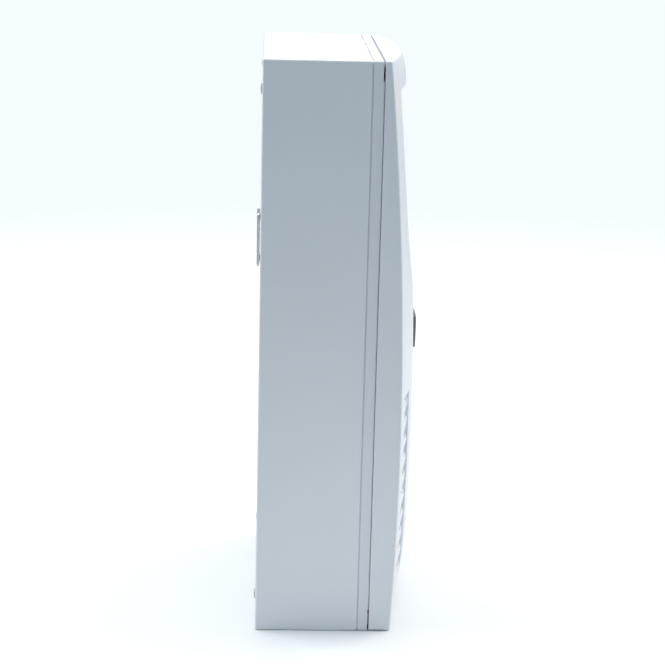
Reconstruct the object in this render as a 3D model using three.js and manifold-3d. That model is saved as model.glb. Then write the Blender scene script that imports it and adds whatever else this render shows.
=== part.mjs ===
// Wall thermostat: a sharp-edged surface box, a chassis frame that carries the electronics, and a crowned
// front cover with a display, one key and two banks of gill louvres. The cover hooks into the frame at its
// top edge and swings out from the bottom; the key presses a switch behind it.
//
// Millimetres, +Z up, front towards -Y. Depths are measured forward from the rear face of the box, so a
// depth d lies at y = -d inside the model group. The group is then moved so that the origin is the middle
// of the footprint, at the height of the surface that the box stands on.
import * as THREE from "three";
import { mergeVertices } from "three/addons/utils/BufferGeometryUtils.js";
import Module from "manifold-3d";

const wasm = await Module();
wasm.setup();

// ---- Driving dimensions -------------------------------------------------------------------------------

const WIDTH = 70;
const HEIGHT = 150;
const HALF = WIDTH / 2;
const GAP = 0.3; // clearance between neighbouring pieces
const BEYOND = 50; // a depth in front of everything
const CORNER = 0.5; // radius of the upright and level outside edges

const BOX_DEPTH = 26.85;
const WALL = 2;

const RIM_REAR = 27.15; // the groove between box and frame lies just behind this depth
const RIM_FRONT = 29.58;
const RIM_WIDTH = 4.4;
const DECK_FRONT = 28.75;
const LIP_INSET = WALL + GAP;
const LIP_WALL = 1.2;
const REAR_LIP_END = 24.6;
const FRONT_LIP_END = 31.4;

const COVER_REAR = 30.03; // leaves a shadow gap in front of the frame
const COVER_BOTTOM = 0.25;
const COVER_WALL = 2.1;
const SIDE_APEX_Z = 50; // height where the cover's sides are deepest
const SIDE_APEX_DEPTH = 36.88;
const SIDE_RADIUS = 950;
const CROWN = 5; // rise of the cover's middle over its sides
const FOOT_LENGTH = 24; // height over which the crown fades at the bottom
const FOOT_DROP = 3.2;
const TOP_LENGTH = 4;
const TOP_DROP = 1;

const FACET_TOP = 142; // the ledge under the brow
const FACET_SLOPE = 0.088;
const FACET_REF = { z: 132, depth: 35.4 };
const FACET_END = 110; // below this the facet curves out to the crown
const FACET_CURVE = 0.00304;

const LENS = { x: 24.9, z: 14.25, centre: 124.25, thick: 1.2 };
const LENS_OPENING = { x: 22.6, z: 12 };

const SWITCH = { half: 3, front: 30.6, plungerRear: 29.4, plungerFront: 31.9, bore: 2.05 };
const KEY = { half: 4.5, z: 74.1, proud: 1, travel: 0.8, stem: 1.9, flange: 6, rear: 37.6 };

const VENT = {
  top: 63.4, // also the height of the uppermost valley
  foot: 14.4,
  teeth: 10,
  pitch: 5.13,
  fall: 2.06, // from a valley down to the tip below it
  inner: 24,
  outer: 36,
  valley: 0.76, // depth of the valleys over the side edge
  tip: 2.08,
  floor: 1.4,
  slotInner: 25.3,
  slotOuter: 30.5,
  slotHeight: 1.1,
};

const HOOK = { inner: 12, outer: 19, low: 145.2, high: 146.8, barb: 147.5, rear: 25.4, root: 30.5 };
const TAB = { inner: 11, outer: 19, low: 2.35, high: 3.75, rear: 25.6 };
const NUB = { inner: 33.2, low: 2, high: 5 }; // stops on the rim that keep the shadow gap even

const CHASSIS_SCREWS = { x: 27.5, low: 8, high: 142 };
const HANGER = { z: 98.5, width: 8, height: 14.5, thick: 0.75, corner: 1.1 };
const KEYHOLE = { entry: 97.5, rest: 99.6, head: 3, neck: 1.3 }; // heights, then radii of the wall screw
const RIVET = { reach: 5.7, shank: 0.9, head: 1.4, height: 0.9 };
const PAD = { x: 29, low: 8, high: 142, radius: 1.4, pocket: 0.8, proud: 0.45 };
const CABLE = { z: 26, radius: 8 };

const POWER_BOARD = { x: 30, low: 44, high: 134, rear: 6, thick: 1.6 };
const POWER_SCREWS = { x: 26, low: 49, high: 129 };
const DISPLAY_BOARD = { x: 29.5, low: 60, high: 137.5, thick: 1.6 };
const DISPLAY_SCREWS = { x: 26.3, low: 63.5, high: 134.3 };

const TERMINALS = { ways: 8, pitch: 5, low: 44.6, length: 10.4, height: 12, screw: 5.6, slope: 2.5 };
const RELAY = { width: 15.5, length: 19, height: 14.5, low: 60, pitch: 20 };
const LCD = { x: 22.7, low: 111.2, high: 137.0 };
const VENT_WINDOW = { inner: 9, outer: 30.5, low: 14, high: 57 };

// ---- Materials ----------------------------------------------------------------------------------------

const finish = (color, roughness, metalness = 0) =>
  new THREE.MeshStandardMaterial({ color, roughness, metalness });

const shellPlastic = () => finish("#dfe4e8", 0.55);
const framePlastic = () => finish("#d6dce1", 0.55);
const keyPlastic = () => finish("#55595c", 0.5);
const lensAcrylic = () => finish("#20262a", 0.08);
const steel = () => finish("#b9bcbf", 0.35, 1);
const rubber = () => finish("#a9adb0", 0.8);
const laminate = () => finish("#1f5c3a", 0.45);
const blackPlastic = () => finish("#1c1d1f", 0.5);
const relayPlastic = () => finish("#2c4f7c", 0.4);
const terminalPlastic = () => finish("#2f7a4d", 0.45);
const whitePlastic = () => finish("#eef0ee", 0.5);
const glass = () => finish("#a7b39a", 0.05);

// ---- Solids -------------------------------------------------------------------------------------------

// A three.js geometry as a solid that can be joined and cut.
function solidOf(geometry) {
  const bare = geometry.index ? geometry.toNonIndexed() : geometry.clone();
  bare.deleteAttribute("normal");
  bare.deleteAttribute("uv");
  const merged = mergeVertices(bare, 1e-4);
  return new wasm.Manifold(
    new wasm.Mesh({
      numProp: 3,
      vertProperties: merged.attributes.position.array,
      triVerts: new Uint32Array(merged.index.array),
    }),
  );
}

function geometryOf(solid) {
  const { numProp, vertProperties, triVerts } = solid.getMesh();
  const positions = new Float32Array((vertProperties.length / numProp) * 3);
  for (let i = 0; i < positions.length / 3; i++)
    positions.set(vertProperties.subarray(i * numProp, i * numProp + 3), i * 3);
  const geometry = new THREE.BufferGeometry();
  geometry.setAttribute("position", new THREE.BufferAttribute(positions, 3));
  geometry.setIndex(new THREE.BufferAttribute(triVerts, 1));
  geometry.computeVertexNormals();
  return geometry;
}

const join = (...solids) => wasm.Manifold.union(solids.flat(2));
const cut = (solid, ...tools) => solid.subtract(join(tools));

// A block between two depths, with round upright edges when a radius is given.
function block(x0, x1, z0, z1, depth0, depth1, radius = 0) {
  const shape = new THREE.Shape();
  if (radius) {
    shape.absarc(x1 - radius, z0 + radius, radius, -Math.PI / 2, 0);
    shape.absarc(x1 - radius, z1 - radius, radius, 0, Math.PI / 2);
    shape.absarc(x0 + radius, z1 - radius, radius, Math.PI / 2, Math.PI);
    shape.absarc(x0 + radius, z0 + radius, radius, Math.PI, 1.5 * Math.PI);
  } else {
    shape.moveTo(x0, z0).lineTo(x1, z0).lineTo(x1, z1).lineTo(x0, z1);
  }
  const geometry = new THREE.ExtrudeGeometry(shape, {
    depth: depth1 - depth0,
    bevelEnabled: false,
    curveSegments: 2,
  });
  return solidOf(geometry.rotateX(Math.PI / 2).translate(0, -depth0, 0));
}

// The same block on the left and on the right.
const blocks = (x0, x1, ...rest) => [block(x0, x1, ...rest), block(-x1, -x0, ...rest)];

// A round bar along the depth axis.
function rod(x, z, radius, depth0, depth1, sides = 16) {
  const length = depth1 - depth0;
  const geometry = new THREE.CylinderGeometry(radius, radius, length, sides);
  return solidOf(geometry.translate(x, -depth0 - length / 2, z));
}

// A bar along X with an outline of [depth, z] points.
function bar(outline, x0, x1) {
  const shape = new THREE.Shape(outline.map(([depth, z]) => new THREE.Vector2(-depth, z)));
  const geometry = new THREE.ExtrudeGeometry(shape, { depth: x1 - x0, bevelEnabled: false });
  const toX = new THREE.Matrix4().makeBasis(
    new THREE.Vector3(0, 1, 0),
    new THREE.Vector3(0, 0, 1),
    new THREE.Vector3(1, 0, 0),
  );
  return solidOf(geometry.applyMatrix4(toX).translate(x0, 0, 0));
}

// A turned piece along the depth axis, from [radius, depth] points that start and end on the axis.
function turned(x, z, profile, sides = 16) {
  const points = profile.map(([radius, depth]) => new THREE.Vector2(radius, -depth));
  return solidOf(new THREE.LatheGeometry(points, sides).translate(x, 0, z));
}

// A block with a flat rear whose front is the surface depthAt(x, z) over a grid.
function reliefBlock(xs, zs, depthAt, rearDepth) {
  const columns = xs.length;
  const rows = zs.length;
  const positions = [];
  const index = [];
  for (const rear of [false, true])
    for (const z of zs)
      for (const x of xs) positions.push(x, -(rear ? rearDepth : depthAt(x, z)), z);
  const front = (i, j) => j * columns + i;
  const rear = (i, j) => (rows + j) * columns + i;
  const quad = (a, b, c, d) => index.push(a, b, c, a, c, d);
  for (let j = 0; j < rows - 1; j++) {
    for (let i = 0; i < columns - 1; i++) {
      quad(front(i, j), front(i + 1, j), front(i + 1, j + 1), front(i, j + 1));
      quad(rear(i, j), rear(i, j + 1), rear(i + 1, j + 1), rear(i + 1, j));
    }
    const last = columns - 1;
    quad(front(0, j), front(0, j + 1), rear(0, j + 1), rear(0, j));
    quad(front(last, j), rear(last, j), rear(last, j + 1), front(last, j + 1));
  }
  for (let i = 0; i < columns - 1; i++) {
    const last = rows - 1;
    quad(front(i, 0), rear(i, 0), rear(i + 1, 0), front(i + 1, 0));
    quad(front(i, last), front(i + 1, last), rear(i + 1, last), rear(i, last));
  }
  const geometry = new THREE.BufferGeometry();
  geometry.setAttribute("position", new THREE.Float32BufferAttribute(positions, 3));
  geometry.setIndex(index);
  return solidOf(geometry);
}

// The four [x, z] places of a rectangle of fasteners.
const corners = ({ x, low, high }) => [
  [-x, low],
  [x, low],
  [-x, high],
  [x, high],
];

// Numbers from a to b in equal steps no longer than step.
function stations(a, b, step) {
  const count = Math.ceil((b - a) / step);
  return Array.from({ length: count + 1 }, (_, i) => a + ((b - a) * i) / count);
}

// Each value of a list on both sides of zero, in order.
const mirrored = (values) => [...values.map((v) => -v).reverse(), 0, ...values];

// ---- Cover surfaces -----------------------------------------------------------------------------------

// Depth of the cover's side edge.
const sideDepth = (z) =>
  SIDE_APEX_DEPTH - SIDE_RADIUS + Math.sqrt(SIDE_RADIUS ** 2 - (z - SIDE_APEX_Z) ** 2);

// Rise of the crown over the side edge at mid width.
function crownRise(z) {
  const foot = Math.max(0, (FOOT_LENGTH - z) / FOOT_LENGTH);
  const top = Math.max(0, (z - HEIGHT + TOP_LENGTH) / TOP_LENGTH);
  return CROWN - FOOT_DROP * foot ** 2 - TOP_DROP * top ** 2;
}

const crownDepth = (x, z) => sideDepth(z) + crownRise(z) * (1 - (x / HALF) ** 2);

// Depth of the display facet: flat behind the lens, then curving out to meet the crown.
const facetDepth = (z) =>
  FACET_REF.depth +
  FACET_SLOPE * (FACET_REF.z - z) +
  FACET_CURVE * Math.max(0, FACET_END - z) ** 2;

// ---- Box ----------------------------------------------------------------------------------------------

function backBox() {
  const { entry, rest, head } = KEYHOLE;
  const shell = cut(
    block(-HALF, HALF, 0, HEIGHT, 0, BOX_DEPTH, CORNER),
    block(-HALF + WALL, HALF - WALL, WALL, HEIGHT - WALL, WALL, BOX_DEPTH + 1),
  );
  const bosses = corners(CHASSIS_SCREWS).map(([x, z]) => rod(x, z, 3.5, 1, BOX_DEPTH));
  const standoffs = corners(POWER_SCREWS).map(([x, z]) => rod(x, z, 3, 1, POWER_BOARD.rear - GAP));
  return cut(
    join(shell, bosses, standoffs),
    corners(CHASSIS_SCREWS).map(([x, z]) => rod(x, z, 1.75, 14, BOX_DEPTH + 1, 12)),
    corners(POWER_SCREWS).map(([x, z]) => rod(x, z, 1.55, 2.8, POWER_BOARD.rear, 12)),
    corners(PAD).map(([x, z]) => rod(x, z, PAD.radius + GAP, -1, PAD.pocket)),
    rod(0, CABLE.z, CABLE.radius, -1, WALL + 1, 24),
    block(-head - GAP, head + GAP, entry - head, rest + head, -1, WALL + 1),
    rivetHeights.map((z) => rod(0, z, RIVET.shank + GAP, -1, WALL + 1)),
  );
}

const rivetHeights = [HANGER.z - RIVET.reach, HANGER.z + RIVET.reach];

// Stamped plate on the rear: a wall screw enters the round end and the slot drops over its neck.
function hangerPlate() {
  const { z, width, height, thick, corner } = HANGER;
  const { entry, rest, head, neck } = KEYHOLE;
  const rear = -GAP - thick;
  return cut(
    block(-width / 2, width / 2, z - height / 2, z + height / 2, rear, -GAP, corner),
    rod(0, entry, head, rear - 1, 0),
    block(-neck, neck, entry, rest, rear - 1, 0),
    rod(0, rest, neck, rear - 1, 0),
    rivetHeights.map((rivet) => rod(0, rivet, RIVET.shank + GAP, rear - 1, 0)),
  );
}

// Rivet set flush in the plate, with its head inside the box.
function hangerRivet(z) {
  const { shank, head, height } = RIVET;
  const seat = WALL + GAP;
  const rear = -GAP - HANGER.thick;
  return turned(0, z, [
    [0, seat + height],
    [shank, seat + height],
    [head, seat + height * 0.6],
    [head, seat],
    [shank, seat],
    [shank, rear],
    [0, rear],
  ]);
}

// Low domed bumper set in a shallow pocket.
function rearPad(x, z) {
  const { radius, pocket, proud } = PAD;
  return turned(x, z, [
    [0, pocket - GAP],
    [radius, pocket - GAP],
    [radius, -proud * 0.33],
    [radius * 0.75, -proud * 0.75],
    [radius * 0.35, -proud],
    [0, -proud],
  ]);
}

// Rubber ring in the cable entry, with a groove that grips the edge of the hole.
function cableGrommet() {
  const neck = CABLE.radius - GAP;
  const flange = CABLE.radius + 1.6;
  const bore = 4.8;
  const outer = turned(0, CABLE.z, [
    [0, 3.6],
    [flange - 0.4, 3.6],
    [flange, 3.2],
    [flange, WALL + GAP],
    [neck, WALL + GAP],
    [neck, 0.1],
    [0, 0.1],
  ], 24);
  return cut(outer, rod(0, CABLE.z, bore, -1, 5));
}

// ---- Chassis frame ------------------------------------------------------------------------------------

// A ring of the given wall inside the outline, between two depths.
function ring(inset, wall, depth0, depth1) {
  const outer = HALF - inset;
  const inner = outer - wall;
  return cut(
    block(-outer, outer, inset, HEIGHT - inset, depth0, depth1),
    block(-inner, inner, inset + wall, HEIGHT - inset - wall, depth0 - 1, depth1 + 1),
  );
}

function chassisFrame() {
  const inner = HALF - RIM_WIDTH;
  const plate = cut(
    block(-HALF, HALF, 0, HEIGHT, RIM_REAR, RIM_FRONT, CORNER),
    block(-inner, inner, RIM_WIDTH, HEIGHT - RIM_WIDTH, DECK_FRONT, RIM_FRONT + 1),
  );
  const side = HALF - LIP_INSET;
  const top = HEIGHT - LIP_INSET;
  const bottom = COVER_BOTTOM + LIP_INSET;
  const frontLips = [
    ...blocks(side - LIP_WALL, side, 8, 120, DECK_FRONT, FRONT_LIP_END),
    block(-10, 10, top - LIP_WALL, top, DECK_FRONT, FRONT_LIP_END),
    block(-28, 28, bottom, bottom + LIP_WALL, DECK_FRONT, FRONT_LIP_END),
  ];
  const rearLip = ring(LIP_INSET, LIP_WALL, REAR_LIP_END, RIM_REAR + 0.5);
  const screwBosses = corners(DISPLAY_SCREWS).map(([x, z]) => rod(x, z, 1.9, DECK_FRONT - 0.5, 30.7));
  const nubs = blocks(NUB.inner, HALF - 0.1, NUB.low, NUB.high, RIM_FRONT - 0.5, COVER_REAR - GAP);
  const body = join(plate, rearLip, frontLips, screwBosses, nubs);
  const rear = REAR_LIP_END - 1;
  const front = FRONT_LIP_END + 1;
  const hookLow = HOOK.low - 1.8;
  return cut(
    body,
    corners(CHASSIS_SCREWS).map(([x, z]) => rod(x, z, 1.75, rear, front, 12)),
    corners(DISPLAY_SCREWS).map(([x, z]) => rod(x, z, 1.25, rear, 30, 12)),
    block(-LCD.x - 1.6, LCD.x + 1.6, LCD.low - 1.8, LCD.high + 1, rear, front),
    rod(0, KEY.z, 6, rear, front),
    blocks(VENT_WINDOW.inner, VENT_WINDOW.outer, VENT_WINDOW.low, VENT_WINDOW.high, rear, front, 1),
    blocks(HOOK.inner - 0.5, HOOK.outer + 0.5, hookLow, HOOK.high + GAP, rear, front),
    blocks(HOOK.inner - 0.5, HOOK.outer + 0.5, hookLow, HEIGHT - 1, rear, RIM_REAR),
    blocks(TAB.inner - 0.4, TAB.outer + 0.4, 2, TAB.high + 0.35, rear, front),
  );
}

// A pan-head screw with its head towards the front and a straight-sided shank behind it.
const panScrew = (x, z, headRadius, headDepth, headHeight, shankRadius, tipDepth) =>
  cut(
    turned(x, z, [
      [0, headDepth + headHeight],
      [headRadius * 0.6, headDepth + headHeight],
      [headRadius, headDepth + headHeight * 0.6],
      [headRadius, headDepth],
      [shankRadius, headDepth],
      [shankRadius, tipDepth + shankRadius],
      [0, tipDepth],
    ], 12),
    crossRecess(x, z, headRadius * 0.55, headDepth + headHeight * 0.45, headDepth + headHeight + 1),
  );

const crossRecess = (x, z, reach, depth0, depth1) => [
  block(x - reach, x + reach, z - 0.3, z + 0.3, depth0, depth1),
  block(x - 0.3, x + 0.3, z - reach, z + reach, depth0, depth1),
];

// The same screw driven from the rear, with its head behind the board.
function rearPanScrew(x, z, headRadius, headDepth, headHeight, shankRadius, tipDepth) {
  const depths = [headDepth - headHeight, headDepth - headHeight * 0.6];
  return cut(
    turned(x, z, [
      [0, tipDepth],
      [shankRadius, tipDepth - shankRadius],
      [shankRadius, headDepth],
      [headRadius, headDepth],
      [headRadius, depths[1]],
      [headRadius * 0.6, depths[0]],
      [0, depths[0]],
    ], 12),
    crossRecess(x, z, headRadius * 0.55, depths[0] - 1, headDepth - headHeight * 0.45),
  );
}

// ---- Cover --------------------------------------------------------------------------------------------

const ventValleys = Array.from({ length: VENT.teeth }, (_, tooth) => VENT.top - tooth * VENT.pitch);

// The saw-toothed pockets of the two vent banks: they are cut from the crown along X and run out where the
// crown falls below the teeth.
function ventPockets() {
  const tip = (z) => [sideDepth(z) + VENT.tip, z];
  const valley = (z) => [sideDepth(z) + VENT.valley, z];
  const teeth = ventValleys.flatMap((z) => [valley(z), tip(z - VENT.fall)]);
  const back = (VENT.tip - VENT.valley) / (VENT.pitch - VENT.fall);
  const lastTip = ventValleys.at(-1) - VENT.fall;
  const end = [sideDepth(VENT.foot) + VENT.tip - back * (lastTip - VENT.foot), VENT.foot];
  const outline = [...teeth, end, [BEYOND, VENT.foot], [BEYOND, VENT.top]];
  return [bar(outline, -VENT.outer, -VENT.inner), bar(outline, VENT.inner, VENT.outer)];
}

// Air slots through the floors of the vents, just under each valley.
const ventSlots = () =>
  ventValleys.flatMap((valley) => {
    const floor = sideDepth(valley) + VENT.valley;
    const top = valley - 0.15;
    return blocks(VENT.slotInner, VENT.slotOuter, top - VENT.slotHeight, top, floor - 3, floor + 1);
  });

// What the display facet takes off the crown, from the ledge down.
function facetCut() {
  const foot = 82;
  const curve = stations(foot, FACET_END, 4).map((z) => [facetDepth(z), z]);
  const ledge = [
    [facetDepth(FACET_TOP), FACET_TOP],
    [BEYOND, FACET_TOP],
  ];
  return bar([[BEYOND, foot], ...curve, ...ledge].reverse(), -HALF - 1, HALF + 1);
}

// Depth of the cover's inner face.
function innerDepth(x, z) {
  const facet = z < FACET_TOP + COVER_WALL - 0.3 ? facetDepth(z) : Infinity;
  const overVent = Math.abs(x) > VENT.inner - VENT.floor && z > VENT.foot - 2 && z < VENT.top + 2;
  const vent = overVent ? sideDepth(z) + VENT.valley - VENT.floor + COVER_WALL : Infinity;
  return Math.min(crownDepth(x, z), facet, vent) - COVER_WALL;
}

// Moves a solid that was made around the middle of the lens on to the tilted facet.
function onFacet(solid) {
  const tilt = new THREE.Matrix4().makeRotationX(-Math.atan(FACET_SLOPE));
  tilt.setPosition(0, -facetDepth(LENS.centre), LENS.centre);
  return solid.transform(tilt.elements);
}

function frontCover() {
  const outerX = mirrored([5, 10, 15, 20, 25, 30, HALF]);
  const outerZ = [
    ...stations(COVER_BOTTOM, FOOT_LENGTH, 4),
    ...stations(34, HEIGHT - TOP_LENGTH, 12),
    ...stations(HEIGHT - TOP_LENGTH + 1, HEIGHT, 1),
  ];
  const shelf = VENT.inner - VENT.floor;
  const innerX = mirrored([5, 10, 15, shelf - 0.1, shelf + 0.1, 27, HALF - WALL]);
  const innerZ = [
    ...stations(COVER_BOTTOM + WALL, VENT.foot - 2.1, 4),
    ...stations(VENT.foot - 1.9, VENT.top + 1.9, 11),
    ...stations(VENT.top + 2.1, 86, 9),
    ...stations(90, FACET_END, 5),
    ...stations(118, FACET_TOP + COVER_WALL - 0.4, 9),
    ...stations(FACET_TOP + COVER_WALL - 0.2, HEIGHT - WALL, 2),
  ];
  const outer = reliefBlock(outerX, outerZ, crownDepth, COVER_REAR);
  const cavity = reliefBlock(innerX, innerZ, innerDepth, COVER_REAR - 1);
  const { x, z, thick } = LENS;
  const seat = block(-x - GAP, x + GAP, -z - GAP, z + GAP, -thick - GAP, 5, 0.8);
  const opening = block(-LENS_OPENING.x, LENS_OPENING.x, -LENS_OPENING.z, LENS_OPENING.z, -6, 5, 1.5);
  const keyHole = KEY.half + GAP;
  const shell = cut(
    outer,
    cavity,
    facetCut(),
    ventPockets(),
    ventSlots(),
    onFacet(seat),
    onFacet(opening),
    block(-keyHole, keyHole, KEY.z - keyHole, KEY.z + keyHole, COVER_REAR, BEYOND, 1.2),
  );
  const { low, high, barb, rear, root } = HOOK;
  const hooks = [
    ...blocks(HOOK.inner, HOOK.outer, low, HEIGHT - WALL + 0.5, root, root + 2.7),
    ...blocks(HOOK.inner, HOOK.outer, low, high, rear, root + 0.5),
    ...blocks(HOOK.inner, HOOK.outer, low, barb, rear, rear + 1.2),
  ];
  const tabs = [
    ...blocks(TAB.inner, TAB.outer, WALL - 0.5, TAB.high, root, root + 3.5),
    ...blocks(TAB.inner, TAB.outer, TAB.low, TAB.high, TAB.rear, root + 0.5),
  ];
  return join(shell, hooks, tabs);
}

function displayLens() {
  const { x, z, thick } = LENS;
  return onFacet(block(-x, x, -z, z, -thick, 0, 0.7));
}

// Key: a square cap through the cover, a flange that stops it behind the cover, and a stem to the switch.
function key() {
  const { half, z, rear } = KEY;
  const top = crownDepth(0, z) + KEY.proud;
  const pad = (size, depth0, depth1) => block(-size, size, z - size, z + size, depth0, depth1, 1);
  const cap = pad(half, rear + 0.6, top - 0.5);
  const crest = pad(half - 0.4, top - 0.6, top);
  const flange = pad(KEY.flange, rear, rear + 1);
  const stem = rod(0, z, KEY.stem, SWITCH.plungerFront + GAP, rear + 0.4);
  return join(cap, crest, flange, stem);
}

// ---- Power board --------------------------------------------------------------------------------------

const boardFront = POWER_BOARD.rear + POWER_BOARD.thick;
const partRear = boardFront + GAP;

const powerBoard = () =>
  cut(
    block(
      -POWER_BOARD.x,
      POWER_BOARD.x,
      POWER_BOARD.low,
      POWER_BOARD.high,
      POWER_BOARD.rear,
      boardFront,
      1,
    ),
    corners(POWER_SCREWS).map(([x, z]) => rod(x, z, 1.6, 0, 10, 12)),
  );

const terminalX = (way) => (way - (TERMINALS.ways - 1) / 2) * TERMINALS.pitch;

const ways = Array.from({ length: TERMINALS.ways }, (_, way) => terminalX(way));

// Screw terminals: wires enter from below and the screws face the front.
function terminalBlock() {
  const { low, length, height, slope } = TERMINALS;
  const half = (TERMINALS.ways * TERMINALS.pitch) / 2 + 0.5;
  const front = partRear + height;
  const outline = [
    [partRear, low],
    [front - slope, low],
    [front, low + slope],
    [front, low + length - 1.5],
    [front - 1.5, low + length],
    [partRear, low + length],
  ];
  return cut(
    bar(outline.reverse(), -half, half),
    ways.map((x) => rod(x, low + TERMINALS.screw, 2, front - 4, front + 1, 12)),
    ways.map((x) => block(x - 1.6, x + 1.6, low - 1, low + 6, partRear + 2, partRear + 5.4)),
  );
}

// Slotted screw of one terminal.
function terminalScrew(x) {
  const z = TERMINALS.low + TERMINALS.screw;
  const front = partRear + TERMINALS.height - 0.8;
  return cut(
    turned(x, z, [
      [0, front],
      [1.7, front],
      [1.7, front - 1.6],
      [1.2, front - 1.6],
      [1.2, front - 2.9],
      [0, front - 2.9],
    ], 12),
    block(x - 2, x + 2, z - 0.25, z + 0.25, front - 0.7, front + 1),
  );
}

function relay(x) {
  const { width, length, height, low } = RELAY;
  const high = low + length;
  const half = width / 2;
  const lid = half - 0.5;
  const front = partRear + height;
  return join(
    block(x - half, x + half, low, high, partRear, front - 1, 0.8),
    block(x - lid, x + lid, low + 0.5, high - 0.5, front - 1.2, front, 0.8),
  );
}

// Small potted mains transformer: a bobbin case with its iron core standing through it.
const transformer = () =>
  join(
    block(-28, 4, 95, 122, partRear, partRear + 12, 1),
    block(-22, -2, 92.5, 124.5, partRear + 1, partRear + 14.5, 0.6),
  );

const CAPACITOR = { x: 15.5, z: 112.5, radius: 5, height: 14 };

// Electrolytic can with a rolled groove near its foot.
function capacitor() {
  const { x, z, radius, height } = CAPACITOR;
  const top = partRear + height;
  return turned(x, z, [
    [0, top],
    [radius - 0.6, top],
    [radius, top - 0.6],
    [radius, partRear + 2],
    [radius - 0.4, partRear + 1.5],
    [radius, partRear + 1],
    [radius, partRear],
    [0, partRear],
  ]);
}

const FUSE = { x0: 7, x1: 28, z: 96, depth: 13.2, radius: 2.5 };

// Fuse clips on a common base.
function fuseHolder() {
  const { x0, x1, z, depth, radius } = FUSE;
  const base = block(x0 - 0.5, x1 + 0.5, z - 3.6, z + 3.6, partRear, partRear + 1.6, 0.5);
  const clip = (a, b) =>
    cut(
      block(a, b, z - 3.4, z + 3.4, partRear + 1, depth + 1.8),
      block(a - 1, b + 1, z - radius - GAP, z + radius + GAP, depth - radius - GAP, depth + 5),
    );
  return join(base, clip(x0 + 0.5, x0 + 5), clip(x1 - 5, x1 - 0.5));
}

function fuse() {
  const { x0, x1, z, depth, radius } = FUSE;
  const along = (r, a, b) => {
    const geometry = new THREE.CylinderGeometry(r, r, b - a, 16);
    return solidOf(geometry.rotateZ(Math.PI / 2).translate((a + b) / 2, -depth, z));
  };
  return join(
    along(radius - 0.25, x0 + 1, x1 - 1),
    along(radius, x0 + 0.5, x0 + 5.5),
    along(radius, x1 - 5.5, x1 - 0.5),
  );
}

const VARISTOR = { x: 24.6, z: 108.5, radius: 3.8, thick: 3.4, rise: 5.6 };

// A dipped disc that stands on its edge, facing along X, with a foot on the board.
function varistor() {
  const { x, z, radius, thick, rise } = VARISTOR;
  const geometry = new THREE.CylinderGeometry(radius, radius, thick, 20);
  const disc = solidOf(geometry.rotateZ(Math.PI / 2).translate(x, -partRear - rise, z));
  return join(disc, block(x - 1, x + 1, z - 1.6, z + 1.6, partRear, partRear + 4));
}

const LINK = { x: 12, low: 84.2, high: 89.2, split: 16.4 };

// Board-to-board connector: a socket on the power board and a plug on the display board.
const boardSocket = () =>
  cut(
    block(-LINK.x, LINK.x, LINK.low, LINK.high, partRear, LINK.split, 0.4),
    block(-LINK.x + 1, LINK.x - 1, LINK.low + 1, LINK.high - 1, LINK.split - 3, LINK.split + 1),
  );

function boardPlug() {
  const { x, low, high, split } = LINK;
  return join(
    block(-x, x, low, high, split + GAP, displayRear - GAP, 0.4),
    block(-x + 1.4, x - 1.4, low + 1.4, high - 1.4, split - 2.4, split + 1),
  );
}

// ---- Display board ------------------------------------------------------------------------------------

const displayFront = RIM_REAR - GAP;
const displayRear = displayFront - DISPLAY_BOARD.thick;
const onDisplay = displayFront + GAP;

const displayBoard = () =>
  cut(
    block(
      -DISPLAY_BOARD.x,
      DISPLAY_BOARD.x,
      DISPLAY_BOARD.low,
      DISPLAY_BOARD.high,
      displayRear,
      displayFront,
      1,
    ),
    corners(DISPLAY_SCREWS).map(([x, z]) => rod(x, z, 1.3, 20, 30, 12)),
  );

const LCD_REAR = 29.9;
const LCD_FRONT = 32;

const lcdFrame = () =>
  cut(
    block(-LCD.x - 1.3, LCD.x + 1.3, LCD.low - 1.5, LCD.high + 0.7, onDisplay, LCD_FRONT + 0.3, 0.5),
    block(-LCD.x - GAP, LCD.x + GAP, LCD.low - GAP, LCD.high + GAP, onDisplay - 1, LCD_FRONT + 1),
  );

const lcdPanel = () =>
  join(
    block(-LCD.x, LCD.x, LCD.low, LCD.high, LCD_REAR, LCD_REAR + 1, 0),
    block(-LCD.x, LCD.x, LCD.low + 1.6, LCD.high, LCD_REAR + 0.9, LCD_FRONT, 0),
  );

const lightGuide = () =>
  block(-LCD.x + 0.5, LCD.x - 0.5, LCD.low + 3, LCD.high - 3, onDisplay, LCD_REAR - GAP, 0.5);

const zebraStrip = (low) => block(-LCD.x + 1.5, LCD.x - 1.5, low, low + 1.8, onDisplay, LCD_REAR - GAP);

function keySwitch() {
  const { half, front, bore, plungerRear } = SWITCH;
  return cut(
    block(-half, half, KEY.z - half, KEY.z + half, onDisplay, front, 0.5),
    rod(0, KEY.z, bore, plungerRear - KEY.travel - GAP, front + 1),
  );
}

const switchPlunger = () => rod(0, KEY.z, SWITCH.bore - GAP, SWITCH.plungerRear, SWITCH.plungerFront);

const microcontroller = () => block(-14, -4, 100, 110, displayRear - GAP - 1.4, displayRear - GAP, 0.6);

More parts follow.
